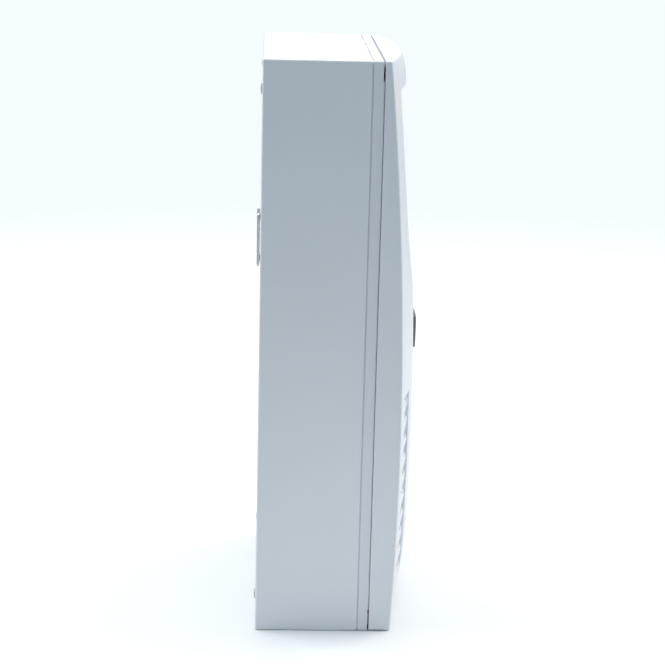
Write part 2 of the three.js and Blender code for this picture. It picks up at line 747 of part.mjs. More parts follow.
// Glass-bead sensor on two wires that reach from the board into the air behind the right-hand vents.
function temperatureSensor() {
  const x = 20;
  const bead = { z: 50.4, depth: 30, radius: 1.6 };
  const top = DISPLAY_BOARD.low - 0.4;
  const wire = (offset) => {
    const path = new THREE.CatmullRomCurve3([
      new THREE.Vector3(x + offset, -displayFront + 0.8, top),
      new THREE.Vector3(x + offset, -displayFront + 0.8, top - 3.4),
      new THREE.Vector3(x + offset, -bead.depth, top - 5.4),
      new THREE.Vector3(x + offset * 0.6, -bead.depth, bead.z),
    ]);
    const section = new THREE.Shape().absarc(0, 0, 0.35, 0, 2 * Math.PI);
    const options = { steps: 7, curveSegments: 3, bevelEnabled: false, extrudePath: path };
    return solidOf(new THREE.ExtrudeGeometry(section, options));
  };
  const ball = new THREE.SphereGeometry(bead.radius, 12, 8).translate(x, -bead.depth, bead.z);
  return join(wire(-1.2), wire(1.2), solidOf(ball));
}

// ---- Assembly -----------------------------------------------------------------------------------------

const thermostat = new THREE.Group();

function add(name, solid, material) {
  const mesh = new THREE.Mesh(geometryOf(solid), material);
  mesh.name = name;
  thermostat.add(mesh);
}

// One numbered piece for each place.
const addEach = (name, places, make, material) =>
  places.forEach((place, i) => add(name + "_" + (i + 1), make(place), material()));

add("back_box", backBox(), shellPlastic());
add("hanger_plate", hangerPlate(), steel());
addEach("hanger_rivet", rivetHeights, hangerRivet, steel);
addEach("rear_pad", corners(PAD), ([x, z]) => rearPad(x, z), rubber);
add("cable_grommet", cableGrommet(), rubber());

add("chassis_frame", chassisFrame(), framePlastic());
addEach(
  "chassis_screw",
  corners(CHASSIS_SCREWS),
  ([x, z]) => panScrew(x, z, 2.8, DECK_FRONT + GAP, 1.7, 1.45, 15),
  steel,
);

add("power_board", powerBoard(), laminate());
addEach(
  "power_board_screw",
  corners(POWER_SCREWS),
  ([x, z]) => panScrew(x, z, 2.6, partRear, 1.7, 1.25, 3.2),
  steel,
);
add("terminal_block", terminalBlock(), terminalPlastic());
addEach("terminal_screw", ways, terminalScrew, steel);
addEach("relay", [-RELAY.pitch, 0, RELAY.pitch], relay, relayPlastic);
add("transformer", transformer(), blackPlastic());
add("capacitor", capacitor(), blackPlastic());
add("fuse_holder", fuseHolder(), steel());
add("fuse", fuse(), glass());
add("varistor", varistor(), relayPlastic());
add("board_socket", boardSocket(), blackPlastic());
add("board_plug", boardPlug(), blackPlastic());

add("display_board", displayBoard(), laminate());
addEach(
  "display_board_screw",
  corners(DISPLAY_SCREWS),
  ([x, z]) => rearPanScrew(x, z, 2, displayRear - GAP, 1.5, 0.95, 29.6),
  steel,
);
add("microcontroller", microcontroller(), blackPlastic());
add("temperature_sensor", temperatureSensor(), glass());
add("lcd_frame", lcdFrame(), whitePlastic());
add("light_guide", lightGuide(), whitePlastic());
addEach("zebra_strip", [LCD.low + 0.4, LCD.high - 2.2], zebraStrip, rubber);
add("lcd_panel", lcdPanel(), glass());
add("key_switch", keySwitch(), blackPlastic());
add("switch_plunger", switchPlunger(), blackPlastic());

add("front_cover", frontCover(), shellPlastic());
add("display_lens", displayLens(), lensAcrylic());
add("key", key(), keyPlastic());

const extent = new THREE.Box3().setFromObject(thermostat);
thermostat.position.y = -(extent.min.y + extent.max.y) / 2;

export default thermostat;
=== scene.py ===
import math

import bmesh
import bpy
import numpy as np
from mathutils import Matrix, Vector


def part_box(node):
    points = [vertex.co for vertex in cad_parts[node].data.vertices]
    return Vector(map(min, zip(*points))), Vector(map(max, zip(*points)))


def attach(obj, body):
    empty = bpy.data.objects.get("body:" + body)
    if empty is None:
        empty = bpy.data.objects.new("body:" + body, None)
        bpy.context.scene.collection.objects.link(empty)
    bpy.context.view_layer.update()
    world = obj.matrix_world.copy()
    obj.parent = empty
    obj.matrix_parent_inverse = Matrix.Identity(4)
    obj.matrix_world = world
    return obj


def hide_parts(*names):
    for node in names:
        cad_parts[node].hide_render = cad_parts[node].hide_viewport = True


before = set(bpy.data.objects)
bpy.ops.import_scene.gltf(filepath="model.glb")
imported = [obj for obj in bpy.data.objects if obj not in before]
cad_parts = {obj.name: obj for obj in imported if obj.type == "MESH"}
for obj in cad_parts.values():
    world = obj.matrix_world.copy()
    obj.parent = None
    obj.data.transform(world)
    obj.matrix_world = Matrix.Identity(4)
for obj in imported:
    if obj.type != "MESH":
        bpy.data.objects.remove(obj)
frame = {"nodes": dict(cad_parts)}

bl_info = {
    "name": "Wall Thermostat",
    "version": (1, 0, 0),
    "blender": (4, 5, 0),
    "location": "View3D > Sidebar > Thermostat",
    "description": "Finishes a crowned wall thermostat over its engineering frame",
    "category": "Object",
}

MM = 0.001  # sizes and places are in millimetres wherever no other unit is given
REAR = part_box("back_box")[1].y  # the rear face of the box; depths are measured forward from it


# ---- Sizes and colours ---------------------------------------------------------------------------


def length(name, default, description):
    return bpy.props.FloatProperty(
        name=name, description=description, default=default * MM, min=0, unit="LENGTH", precision=5
    )


def colour(name, default, description):
    return bpy.props.FloatVectorProperty(
        name=name, description=description, default=default, subtype="COLOR", size=3, min=0, max=1
    )


class ThermostatSizes(bpy.types.PropertyGroup):
    """Sizes that give the cover its shape and the edges their sharpness."""

    half_width: length("Half Width", 35, "Middle of the cover to its side")
    top: length("Top", 150, "Height of the cover's top face")
    bottom: length("Bottom", 0.25, "Height of the cover's lower end")
    cover_rear: length("Cover Rear", 30.03, "Depth of the parting face of the cover")
    wall: length("Wall", 2.1, "Thickness of the cover's front wall")
    apex_height: length("Apex Height", 50, "Height where the cover's sides are deepest")
    apex_depth: length("Apex Depth", 36.88, "Depth of the cover's sides at the apex")
    side_radius: length("Side Radius", 950, "Radius of the long bow of the cover's sides")
    crown: length("Crown", 5, "Rise of the front's middle over its sides")
    foot_length: length("Foot Length", 24, "Height over which the crown fades at the bottom")
    foot_drop: length("Foot Drop", 3.2, "How far the crown drops at the bottom")
    top_length: length("Top Length", 4, "Height over which the crown fades at the top")
    top_drop: length("Top Drop", 1, "How far the crown drops at the top")
    ledge: length("Ledge", 142, "Height of the ledge over the display")
    facet_height: length("Facet Height", 132, "Height at which the facet's depth is given")
    facet_depth: length("Facet Depth", 35.4, "Depth of the display facet at that height")
    facet_end: length("Facet End", 110, "Height below which the facet curves out to the crown")
    vent_top: length("Vent Top", 63.4, "Height of the louvres' upper end and first valley")
    vent_foot: length("Vent Foot", 14.4, "Height of the lower end of the louvres")
    vent_inner: length("Vent Inner", 24, "Middle of the cover to the inner end of the louvres")
    vent_pitch: length("Vent Pitch", 5.13, "Height of one louvre")
    vent_fall: length("Vent Fall", 2.06, "Height from a louvre's valley down to its tip")
    vent_valley: length("Vent Valley", 0.76, "Depth of the valleys over the cover's sides")
    vent_tip: length("Vent Tip", 2.08, "Depth of the tips over the cover's sides")
    vent_floor: length("Vent Floor", 1.4, "Thickness of the wall behind the louvres")
    softness: length("Softness", 0.14, "Width over which two faces of the cover blend")
    rim_edge: length("Rim Edge", 0.4, "Radius of the cover's outer edge")
    shell_edge: length("Casing Edge", 0.5, "Radius of the box's outer edges")
    cut_edge: length("Cut Edge", 0.12, "Radius of the edges at the two grooves")


class ThermostatColours(bpy.types.PropertyGroup):
    """Colours of the mouldings, boards and fittings."""

    shell: colour("Casing", (0.77, 0.785, 0.822), "Box and cover plastic")
    frame: colour("Frame", (0.735, 0.75, 0.795), "Chassis frame plastic")
    key: colour("Key", (0.115, 0.122, 0.13), "Key cap plastic")
    print: colour("Print", (0.012, 0.013, 0.014), "Ink behind the lens")
    glass: colour("Glass", (0.36, 0.39, 0.32), "Display glass with its rear reflector")
    segment: colour("Segment", (0.16, 0.18, 0.14), "Display segments at rest")
    steel: colour("Steel", (0.58, 0.59, 0.60), "Plated steel")
    rubber: colour("Rubber", (0.47, 0.48, 0.49), "Pads and cable ring")
    laminate: colour("Laminate", (0.016, 0.105, 0.05), "Solder mask of the boards")
    copper: colour("Copper", (0.03, 0.17, 0.08), "Tracks under the solder mask")
    tin: colour("Tin", (0.62, 0.63, 0.62), "Soldered ends")
    relay: colour("Relay", (0.03, 0.10, 0.26), "Relay cases")
    terminal: colour("Terminal", (0.03, 0.22, 0.09), "Terminal block")
    black: colour("Black", (0.018, 0.018, 0.02), "Component cases")
    white: colour("White", (0.78, 0.78, 0.76), "Display frame and light guide")
    iron: colour("Iron", (0.16, 0.155, 0.15), "Transformer core plates")
    tape: colour("Tape", (0.62, 0.42, 0.06), "Tape round the transformer winding")
    sleeve: colour("Sleeve", (0.015, 0.03, 0.09), "Capacitor sleeve")
    lens: colour("Lens", (0.93, 0.95, 0.95), "Acrylic of the display lens")
    tube: colour("Tube", (0.95, 0.97, 0.96), "Glass of the fuse")
    sensor: colour("Sensor", (0.10, 0.025, 0.015), "Glass of the temperature sensor")
    floor: colour("Floor", (0.83, 0.85, 0.875), "Floor under the thermostat")


# Sizes that the cover's rule takes, as inputs of its tree.
NOT_IN_RULE = ("bottom", "rim_edge", "shell_edge", "cut_edge")
COVER_RULE = [name for name in ThermostatSizes.__annotations__ if name not in NOT_IN_RULE]


def sizes():
    return bpy.context.scene.thermostat_sizes


def in_mm(name):
    """A size in millimetres, without the rounding of single precision."""
    return round(getattr(sizes(), name) / MM, 4)


def paint(name):
    return (*getattr(bpy.context.scene.thermostat_colours, name), 1.0)


# ---- Arithmetic in node trees --------------------------------------------------------------------


class Number:
    """A number inside a node tree, so that a rule can be written as arithmetic."""

    def __init__(self, tree, socket):
        self.tree = tree
        self.socket = socket

    def use(self, operation, *others, clamp=False):
        node = self.tree.nodes.new("ShaderNodeMath")
        node.operation = operation
        node.use_clamp = clamp
        for socket, value in zip(node.inputs, (self, *others)):
            feed(self.tree, value, socket)
        return Number(self.tree, node.outputs[0])

    def __add__(self, other):
        return self.use("ADD", other)

    def __sub__(self, other):
        return self.use("SUBTRACT", other)

    def __rsub__(self, other):
        return self.use("MULTIPLY_ADD", -1.0, other)

    def __mul__(self, other):
        return self.use("MULTIPLY", other)

    def __truediv__(self, other):
        return self.use("DIVIDE", other)

    def __pow__(self, other):
        return self.use("POWER", other)

    def __gt__(self, other):
        return self.use("GREATER_THAN", other)

    def __lt__(self, other):
        return self.use("LESS_THAN", other)

    def __abs__(self):
        return self.use("ABSOLUTE")

    __radd__ = __add__
    __rmul__ = __mul__

    def at_least(self, other):
        return self.use("MAXIMUM", other)

    def least(self, other, blend):
        return self.use("SMOOTH_MIN", other, blend)

    def ramp(self, low, high):
        """0 below low, 1 above high, smooth between."""
        node = self.tree.nodes.new("ShaderNodeMapRange")
        node.interpolation_type = "SMOOTHSTEP"
        for name, value in (("Value", self), ("From Min", low), ("From Max", high)):
            feed(self.tree, value, node.inputs[name])
        return Number(self.tree, node.outputs["Result"])


def feed(tree, value, socket):
    """Links a number or socket to a socket, or sets the socket to a constant."""
    if isinstance(value, Number):
        value = value.socket
    if isinstance(value, bpy.types.NodeSocket):
        tree.links.new(value, socket)
    else:
        socket.default_value = value


def label(name):
    return name.replace("_", " ").title()


def add_node(tree, kind, inputs=None, **settings):
    node = tree.nodes.new(kind)
    for name, value in settings.items():
        setattr(node, name, value)
    for name, value in (inputs or {}).items():
        feed(tree, value, node.inputs[name])
    return node


def new_tree(name, kind, inputs, outputs):
    """An empty tree with named inputs (name, socket kind) and outputs, and its input node."""
    tree = bpy.data.node_groups.new(name, kind)
    for title, socket in inputs:
        tree.interface.new_socket(title, in_out="INPUT", socket_type=socket)
    for title, socket in outputs:
        tree.interface.new_socket(title, in_out="OUTPUT", socket_type=socket)
    return tree, tree.nodes.new("NodeGroupInput")


# ---- Geometry trees ------------------------------------------------------------------------------

GEOMETRY = "NodeSocketGeometry"
FLOAT = "NodeSocketFloat"

TOOTH_BLEND = 0.12  # softness of a louvre's tip, as a share of its tooth
VENT_MARGIN = 2  # reach of the thinner wall above and below the louvres, in mm
LEDGE_WALL = 1.8  # thickness of the brow over the display, in mm


def finish_geometry(tree, geometry, material):
    """Ends a geometry tree in real mesh with one material."""
    real = add_node(tree, "GeometryNodeRealizeInstances", {"Geometry": geometry})
    whole = {"Geometry": real.outputs[0], "Material": material}
    painted = add_node(tree, "GeometryNodeSetMaterial", whole)
    end = tree.nodes.new("NodeGroupOutput")
    tree.links.new(painted.outputs[0], end.inputs[0])
    return tree


def cover_tree():
    """Bends a flat double sheet into the cover: bowed sides, crown, display facet and louvres."""
    inputs = [("Sheet", GEOMETRY), ("Material", "NodeSocketMaterial"), ("Box Rear", FLOAT)]
    inputs += [("Facet Slope", FLOAT), ("Facet Curve", FLOAT)]
    inputs += [(label(name), FLOAT) for name in COVER_RULE]
    tree, given = new_tree("Crowned cover", "GeometryNodeTree", inputs, [("Cover", GEOMETRY)])

    def size(name):
        return Number(tree, given.outputs[label(name)])

    def mark(name):
        node = add_node(tree, "GeometryNodeInputNamedAttribute", {"Name": name})
        return Number(tree, node.outputs["Attribute"])

    position = add_node(tree, "GeometryNodeInputPosition")
    split = add_node(tree, "ShaderNodeSeparateXYZ", {"Vector": position.outputs[0]})
    x, _, z = (Number(tree, socket) for socket in split.outputs)
    across = abs(x)

    bow = (size("side_radius") ** 2 - (z - size("apex_height")) ** 2) ** 0.5
    side = size("apex_depth") - size("side_radius") + bow
    foot = ((size("foot_length") - z) / size("foot_length")).at_least(0.0)
    brow = ((z - size("top") + size("top_length")) / size("top_length")).at_least(0.0)
    rise = size("crown") - size("foot_drop") * foot**2 - size("top_drop") * brow**2
    crown = side + rise * (1.0 - (x / size("half_width")) ** 2)

    below = (size("facet_end") - z).at_least(0.0)
    facet = size("facet_depth") + size("facet_slope") * (size("facet_height") - z)
    facet = facet + size("facet_curve") * below**2

    down = ((size("vent_top") - z) / size("vent_pitch")).use("FRACT") * size("vent_pitch")
    opening = down / size("vent_fall")
    closing = (size("vent_pitch") - down) / (size("vent_pitch") - size("vent_fall"))
    tooth = (size("vent_tip") - size("vent_valley")) * opening.least(closing, TOOTH_BLEND)
    louvre = side + size("vent_valley") + tooth
    in_vent = (across > size("vent_inner")) * (z > size("vent_foot")) * (z < size("vent_top"))

    outer = crown.least(facet + (z > size("ledge")), size("softness"))
    outer = outer.least(louvre + (1.0 - in_vent), size("softness"))

    over_vent = across > size("vent_inner") - size("vent_floor")
    over_vent = over_vent * (z > size("vent_foot") - VENT_MARGIN * MM)
    over_vent = over_vent * (z < size("vent_top") + VENT_MARGIN * MM)
    shelf = side + size("vent_valley") - size("vent_floor") + size("wall") + (1.0 - over_vent)
    inner = crown.least(facet + (z > size("ledge") + LEDGE_WALL * MM), size("softness"))
    inner = inner.least(shelf, size("softness")) - size("wall")

    front = outer + mark("inner") * (inner - outer)
    depth = front + mark("rim") * (size("cover_rear") - front) - mark("sunk")
    bent = add_node(tree, "ShaderNodeCombineXYZ", {"X": x, "Y": size("box_rear") - depth, "Z": z})
    moved = {"Geometry": given.outputs["Sheet"], "Position": bent.outputs[0]}
    placed = add_node(tree, "GeometryNodeSetPosition", moved)
    return finish_geometry(tree, placed.outputs[0], given.outputs["Material"])


def repeat_tree():
    """Puts a copy of a piece at each point, turned about the depth axis by a fixed random angle."""
    inputs = [("Points", GEOMETRY), ("Piece", "NodeSocketObject"), ("Most Turn", FLOAT)]
    inputs += [("Seed", "NodeSocketInt"), ("Material", "NodeSocketMaterial")]
    tree, given = new_tree("Repeated piece", "GeometryNodeTree", inputs, [("Pieces", GEOMETRY)])
    piece = add_node(tree, "GeometryNodeObjectInfo", {"Object": given.outputs["Piece"]})
    chance = add_node(tree, "FunctionNodeRandomValue", data_type="FLOAT")
    feed(tree, given.outputs["Seed"], chance.inputs["Seed"])
    turn = Number(tree, chance.outputs["Value"]) * Number(tree, given.outputs["Most Turn"])
    turned = add_node(tree, "ShaderNodeCombineXYZ", {"Y": turn})
    copied = {"Points": given.outputs["Points"], "Instance": piece.outputs["Geometry"]}
    copied["Rotation"] = turned.outputs[0]
    copies = add_node(tree, "GeometryNodeInstanceOnPoints", copied)
    return finish_geometry(tree, copies.outputs[0], given.outputs["Material"])


def tree_named(name, make):
    return bpy.data.node_groups.get(name) or make()


def run_tree(obj, tree, values):
    """Runs a geometry tree on an object with named inputs and keeps the result as plain mesh."""
    modifier = obj.modifiers.new(tree.name, "NODES")
    modifier.node_group = tree
    identifiers = {item.name: item.identifier for item in tree.interface.items_tree}
    for name, value in values.items():
        modifier[identifiers[name]] = value
    return settle(obj)


# ---- Mesh work -----------------------------------------------------------------------------------


def link(name, mesh):
    obj = bpy.data.objects.new(name, mesh)
    bpy.context.scene.collection.objects.link(obj)
    return obj


def settle(obj):
    """Turns an object's modifiers into plain mesh."""
    shown = obj.evaluated_get(bpy.context.evaluated_depsgraph_get())
    mesh = bpy.data.meshes.new_from_object(shown)
    obj.modifiers.clear()
    obj.data = mesh
    return obj


SHARP = 0.01  # a corner radius under this many millimetres is a sharp corner
ON_AXIS = 1e-6  # a turned point nearer to the axis than this lies on it


def as_object(name, bm, rear=REAR):
    """An object in metres from a closed bmesh whose vertices are (x, depth, z) in millimetres."""
    for vertex in bm.verts:
        x, depth, z = vertex.co
        vertex.co = (x * MM, rear - depth * MM, z * MM)
    bmesh.ops.recalc_face_normals(bm, faces=bm.faces)
    mesh = bpy.data.meshes.new(name)
    bm.to_mesh(mesh)
    bm.free()
    return link(name, mesh)


def face_out(obj):
    bm = bmesh.new()
    bm.from_mesh(obj.data)
    bmesh.ops.recalc_face_normals(bm, faces=bm.faces)
    bm.to_mesh(obj.data)
    bm.free()


def join_into(obj, *others):
    """Adds the meshes of other objects to an object."""
    bm = bmesh.new()
    for piece in (obj, *others):
        bm.from_mesh(piece.data)
    bm.to_mesh(obj.data)
    bm.free()
    for piece in others:
        bpy.data.objects.remove(piece)
    return obj


def carve(obj, *tools):
    """Takes closed tools away from a closed object."""
    for tool in tools:
        modifier = obj.modifiers.new("Cut", "BOOLEAN")
        modifier.operation = "DIFFERENCE"
        modifier.solver = "EXACT"
        modifier.object = tool
    settle(obj)
    for tool in tools:
        bpy.data.objects.remove(tool)
    return obj


def outline(half_x, half_z, radius, steps=5):
    """Points round a rectangle with rounded corners, about its middle."""
    if radius < SHARP:
        return [(half_x, half_z), (-half_x, half_z), (-half_x, -half_z), (half_x, -half_z)]
    points = []
    for quadrant, (side_x, side_z) in enumerate(((1, 1), (-1, 1), (-1, -1), (1, -1))):
        for step in range(steps + 1):
            angle = math.pi / 2 * (quadrant + step / steps)
            x = side_x * (half_x - radius) + radius * math.cos(angle)
            points.append((x, side_z * (half_z - radius) + radius * math.sin(angle)))
    return points


def loft(bm, rings, ring_shaped=False):
    """A closed solid through rings of equally many (x, depth, z) points, capped or ring-shaped."""
    made = [[bm.verts.new(point) for point in ring] for ring in rings]
    for near, far in zip(made, made[1:] + made[:1] if ring_shaped else made[1:]):
        for i in range(len(near)):
            k = (i + 1) % len(near)
            bm.faces.new((near[i], near[k], far[k], far[i]))
    if not ring_shaped:
        bm.faces.new(made[0])
        bm.faces.new(made[-1])
    return bm


def stack(bm, x, z, rings, steps=5):
    """A solid from (half x, half z, corner radius, depth) rings about one middle."""
    placed = []
    for half_x, half_z, radius, depth in rings:
        points = outline(half_x, half_z, radius, steps)
        placed.append([(x + px, depth, z + pz) for px, pz in points])
    return loft(bm, placed)


def quarter(edge, steps=3):
    """(inset, run) pairs round a quarter circle of the given radius."""
    if not edge:
        return [(0.0, 0.0)]
    angles = [math.pi / 2 * step / steps for step in range(steps + 1)]
    return [(edge * (1 - math.sin(angle)), edge * (1 - math.cos(angle))) for angle in angles]


def slab(bm, spans, corner=0.3, rear=0.15, front=0.15, steps=3):
    """A block between (x, x, depth, depth, z, z) with round corners, rear edges and front edges."""
    x0, x1, d0, d1, z0, z1 = spans
    half_x = (x1 - x0) / 2
    half_z = (z1 - z0) / 2
    rounding = [(inset, d0 + run) for inset, run in quarter(rear, steps)]
    rounding += [(inset, d1 - run) for inset, run in reversed(quarter(front, steps))]
    rings = []
    for inset, depth in rounding:
        rings.append((half_x - inset, half_z - inset, max(corner - inset, 2 * SHARP), depth))
    return stack(bm, (x0 + x1) / 2, (z0 + z1) / 2, rings, steps)


def turned(bm, x, z, profile, sides=40, axis="depth", scale=1.0):
    """A turned solid or ring from (radius, place along the axis) points, closed at its ends."""
    rings = []
    for radius, along in profile:
        ring = []
        count = sides if radius > ON_AXIS else 1
        for step in range(count):
            angle = 2 * math.pi * (step + 0.5) / sides
            a = radius * math.cos(angle) * scale
            b = radius * math.sin(angle)
            point = (x + a, along, z + b) if axis == "depth" else (along, x + a, z + b)
            ring.append(bm.verts.new(point))
        rings.append(ring)
    is_ring = profile[0][0] > ON_AXIS
    for near, far in zip(rings, rings[1:] + rings[:1] if is_ring else rings[1:]):
        for step in range(sides):
            a, b = near[step % len(near)], near[(step + 1) % len(near)]
            c, d = far[(step + 1) % len(far)], far[step % len(far)]
            bm.faces.new(list(dict.fromkeys((a, b, c, d))))
    return bm


def drill(bm, x, z, radius, rear, front, sides=32):
    """Adds a plain cylinder between two depths, to cut a hole with."""
    return turned(bm, x, z, [(0, rear), (radius, rear), (radius, front), (0, front)], sides)


def spans(node, grow=0.0):
    """Left, right, rear depth, front depth, low and high of a CAD node, in millimetres."""
    low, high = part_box(node)
    values = (low.x, high.x, REAR - high.y, REAR - low.y, low.z, high.z)
    signs = (-1, 1, -1, 1, -1, 1)
    return tuple(value / MM + sign * grow for value, sign in zip(values, signs))


def middle(node):
    """Middle x, rear depth, front depth and middle z of a CAD node, in millimetres."""
    x0, x1, d0, d1, z0, z1 = spans(node)
    return (x0 + x1) / 2, d0, d1, (z0 + z1) / 2


def centres(nodes):
    """Middle x and middle z of each CAD node, in millimetres."""
    return [(middle(node)[0], middle(node)[3]) for node in nodes]


def numbered(name):
    """The CAD nodes of a numbered family, in order."""
    names = [n for n in frame["nodes"] if n.rpartition("_")[0] == name and n[-1].isdigit()]
    return sorted(names, key=lambda n: int(n.rpartition("_")[2]))


def from_frame(name, *nodes, edge=0.15, angle=35):
    """A merged copy of CAD nodes with softened edges."""
    bm = bmesh.new()
    for node in nodes:
        bm.from_mesh(frame["nodes"][node].data)
    bmesh.ops.remove_doubles(bm, verts=bm.verts, dist=1e-6)
    bmesh.ops.dissolve_limit(
        bm, angle_limit=math.radians(1), verts=bm.verts, edges=bm.edges, delimit={"NORMAL"}
    )
    mesh = bpy.data.meshes.new(name)
    bm.to_mesh(mesh)
    bm.free()
    obj = link(name, mesh)
    bevel = obj.modifiers.new("Edges", "BEVEL")
    bevel.width = edge * MM
    bevel.segments = 2
    bevel.limit_method = "ANGLE"
    bevel.angle_limit = math.radians(angle)
    bevel.use_clamp_overlap = True
    return settle(obj)


def complete(obj, finish, nodes=(), body="housing", angle=32):
    """Gives a piece its finish and smooth shading, and makes it ride on its body."""
    mesh = obj.data
    mesh.materials.clear()
    mesh.materials.append(finish_of(finish))
    for polygon in mesh.polygons:
        polygon.material_index = 0
    mesh.shade_smooth()
    mesh.set_sharp_from_angle(angle=math.radians(angle))
    weighted = obj.modifiers.new("Flat faces", "WEIGHTED_NORMAL")
    weighted.keep_sharp = True
    settle(obj)
    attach(obj, body)
    if nodes:
        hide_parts(*nodes)
    return obj


def softened(nodes, finish, edge, angle=32):
    """Merged copies of CAD nodes with softened edges, in one finish."""
    for node in nodes:
        complete(from_frame(node, node, edge=edge), finish, [node], angle=angle)


def copies(name, piece, places, finish, turn=0.0, seed=1):
    """Copies of a piece at (x, depth, z) places in millimetres, as one plain mesh."""
    mesh = bpy.data.meshes.new(name)
    points = [(x * MM, REAR - depth * MM, z * MM) for x, depth, z in places]
    mesh.from_pydata(points, [], [])
    values = {"Piece": piece, "Most Turn": turn, "Seed": seed, "Material": finish_of(finish)}
    obj = run_tree(link(name, mesh), tree_named("Repeated piece", repeat_tree), values)
    bpy.data.objects.remove(piece)
    return obj


def repeat(name, piece, places, finish, nodes=(), turn=0.0, seed=1):
    """Copies of a piece, finished as one piece of the housing."""
    return complete(copies(name, piece, places, finish, turn, seed), finish, nodes)


# ---- Front cover ---------------------------------------------------------------------------------

FACET_SLOPE = 0.088
FACET_CURVE = 3.04  # per metre
SEAT = {"x": 25.2, "low": 109.756, "high": 138.744, "corner": 0.8, "deep": 1.506, "edge": 0.17}
OPENING = {"x": 22.6, "low": 112.296, "high": 136.204, "corner": 1.5}
KEY_HOLE = {"half": 4.8, "corner": 1.2, "edge": 0.25}
KEY_Z = middle("key")[3]
SLOT = {"inner": 25.3, "outer": 30.5, "top": 0.15, "low": 1.25}
COVER_CORNER = 0.5
VENT_EDGE = 0.25
BROW_EDGE = 0.3
BROW_FOOT = 2.1  # the facet over the cover's side, at the ledge
RIM_CHAMFER = 0.08
SIDE_WALL = 2.0
PULL = 4  # the inner skin is drawn in over this reach to make room for the side walls

# Lines of the cover's grid, in mm. Steep walls of the outer skin lie between two lines STEP to each
# side of their true place, and steep walls of the inner skin between two INNER_STEP to each side.
STEP = 0.015
INNER_STEP = 0.05
CORNER_LINES = (0, 0.07, 0.2, 0.4, COVER_CORNER)
HOLE_LINES = (0, 0.4, 0.75, 1, KEY_HOLE["corner"])
HOLE_EDGE_LINES = (0.06, 0.15, KEY_HOLE["edge"])
VENT_LINES = (0.07, 0.15, VENT_EDGE)
SEAT_LINES = (0.08, SEAT["edge"])
SEAT_CORNER_LINE = 0.4
LOUVRE_LINES = (0, 0.15, 0.55, 0.95, 1.25, 1.6, 1.9, 2.2, 2.5, 3.1, 3.8, 4.5, 4.9)
SIDE_BAND = (26, 32.2)  # columns where the louvres run out into the bowed side
FACET_BAND = (82, SEAT["low"] - 0.6)  # rows where the facet curves out to the crown


def drop(distance, radius):
    """How far a rounded edge lies under its sharp corner, at a distance from it."""
    inside = max(0.0, radius - max(0.0, distance))
    return radius - math.sqrt(max(0.0, radius**2 - inside**2))


def grid_lines(hard, step_at):
    """Grid lines through every hard line, and between them no further apart than step_at says."""
    hard = sorted(set(round(value, 4) for value in hard))
    found = [hard[0]]
    for low, high in zip(hard, hard[1:]):
        count = max(1, math.ceil((high - low) / step_at((low + high) / 2) - 1e-6))
        found += [low + (high - low) * k / count for k in range(1, count + 1)]
    return found


def louvre_valleys():
    first, pitch = in_mm("vent_top"), in_mm("vent_pitch")
    count = 1 + int((first - in_mm("vent_foot")) / pitch)
    return [first - k * pitch for k in range(count)]


def wall_lines(place, step=STEP):
    """The two grid lines between which a steep wall lies."""
    return [place - step, place + step]


def seat_lines(edge, inwards):
    """Grid lines at one edge of the lens seat, from its soft outer edge to its round corner."""
    inner = [inwards * t for t in (SEAT_CORNER_LINE, SEAT["corner"])]
    outer = [-inwards * t for t in SEAT_LINES]
    return wall_lines(edge) + [edge + t for t in inner + outer]


def key_hole_lines():
    """Grid lines from the start of the key hole's round corner to the end of its soft edge."""
    hole = KEY_HOLE["half"]
    corner = hole - KEY_HOLE["corner"]
    return [corner + t for t in HOLE_LINES] + [hole + t for t in HOLE_EDGE_LINES]


def column_step(x):
    low, high = SIDE_BAND
    return 1.0 if x < in_mm("vent_inner") else 0.25 if low < x < high else 0.5


def row_step(z):
    return 0.8 if FACET_BAND[0] < z < SEAT["low"] else 1.5


def cover_columns():
    half, inner = in_mm("half_width"), in_mm("vent_inner")
    hard = [0, half - PULL, *SIDE_BAND, SLOT["inner"], SLOT["outer"]]
    hard += [OPENING["x"] - OPENING["corner"], OPENING["x"]]
    hard += key_hole_lines() + seat_lines(SEAT["x"], -1)
    hard += wall_lines(inner - in_mm("vent_floor"), INNER_STEP) + wall_lines(inner)
    hard += [inner - STEP - t for t in VENT_LINES]
    hard += [half - t for t in CORNER_LINES]
    right = grid_lines(hard, column_step)
    return [-x for x in reversed(right[1:])] + right


def cover_rows():
    foot, head, ledge = in_mm("vent_foot"), in_mm("vent_top"), in_mm("ledge")
    hard = [*FACET_BAND, OPENING["low"], OPENING["high"]]
    hard += [OPENING["low"] + OPENING["corner"], OPENING["high"] - OPENING["corner"]]
    hard += wall_lines(ledge) + wall_lines(ledge + LEDGE_WALL, INNER_STEP)
    hard += [ledge + STEP + t for t in (*SEAT_LINES, BROW_EDGE)]
    for edge, seat, end, way in (
        (in_mm("bottom"), SEAT["low"], foot, 1),
        (in_mm("top"), SEAT["high"], head, -1),
    ):
        hard += [edge + way * t for t in (*CORNER_LINES, PULL)]
        hard += seat_lines(seat, way) + [KEY_Z + way * t for t in key_hole_lines()]
        hard += wall_lines(end) + wall_lines(end - way * VENT_MARGIN, INNER_STEP)
        hard += [end - way * (STEP + t) for t in VENT_LINES]
    for valley in louvre_valleys():
        hard += [valley - t for t in LOUVRE_LINES if foot < valley - t < head]
    return grid_lines(hard, row_step)


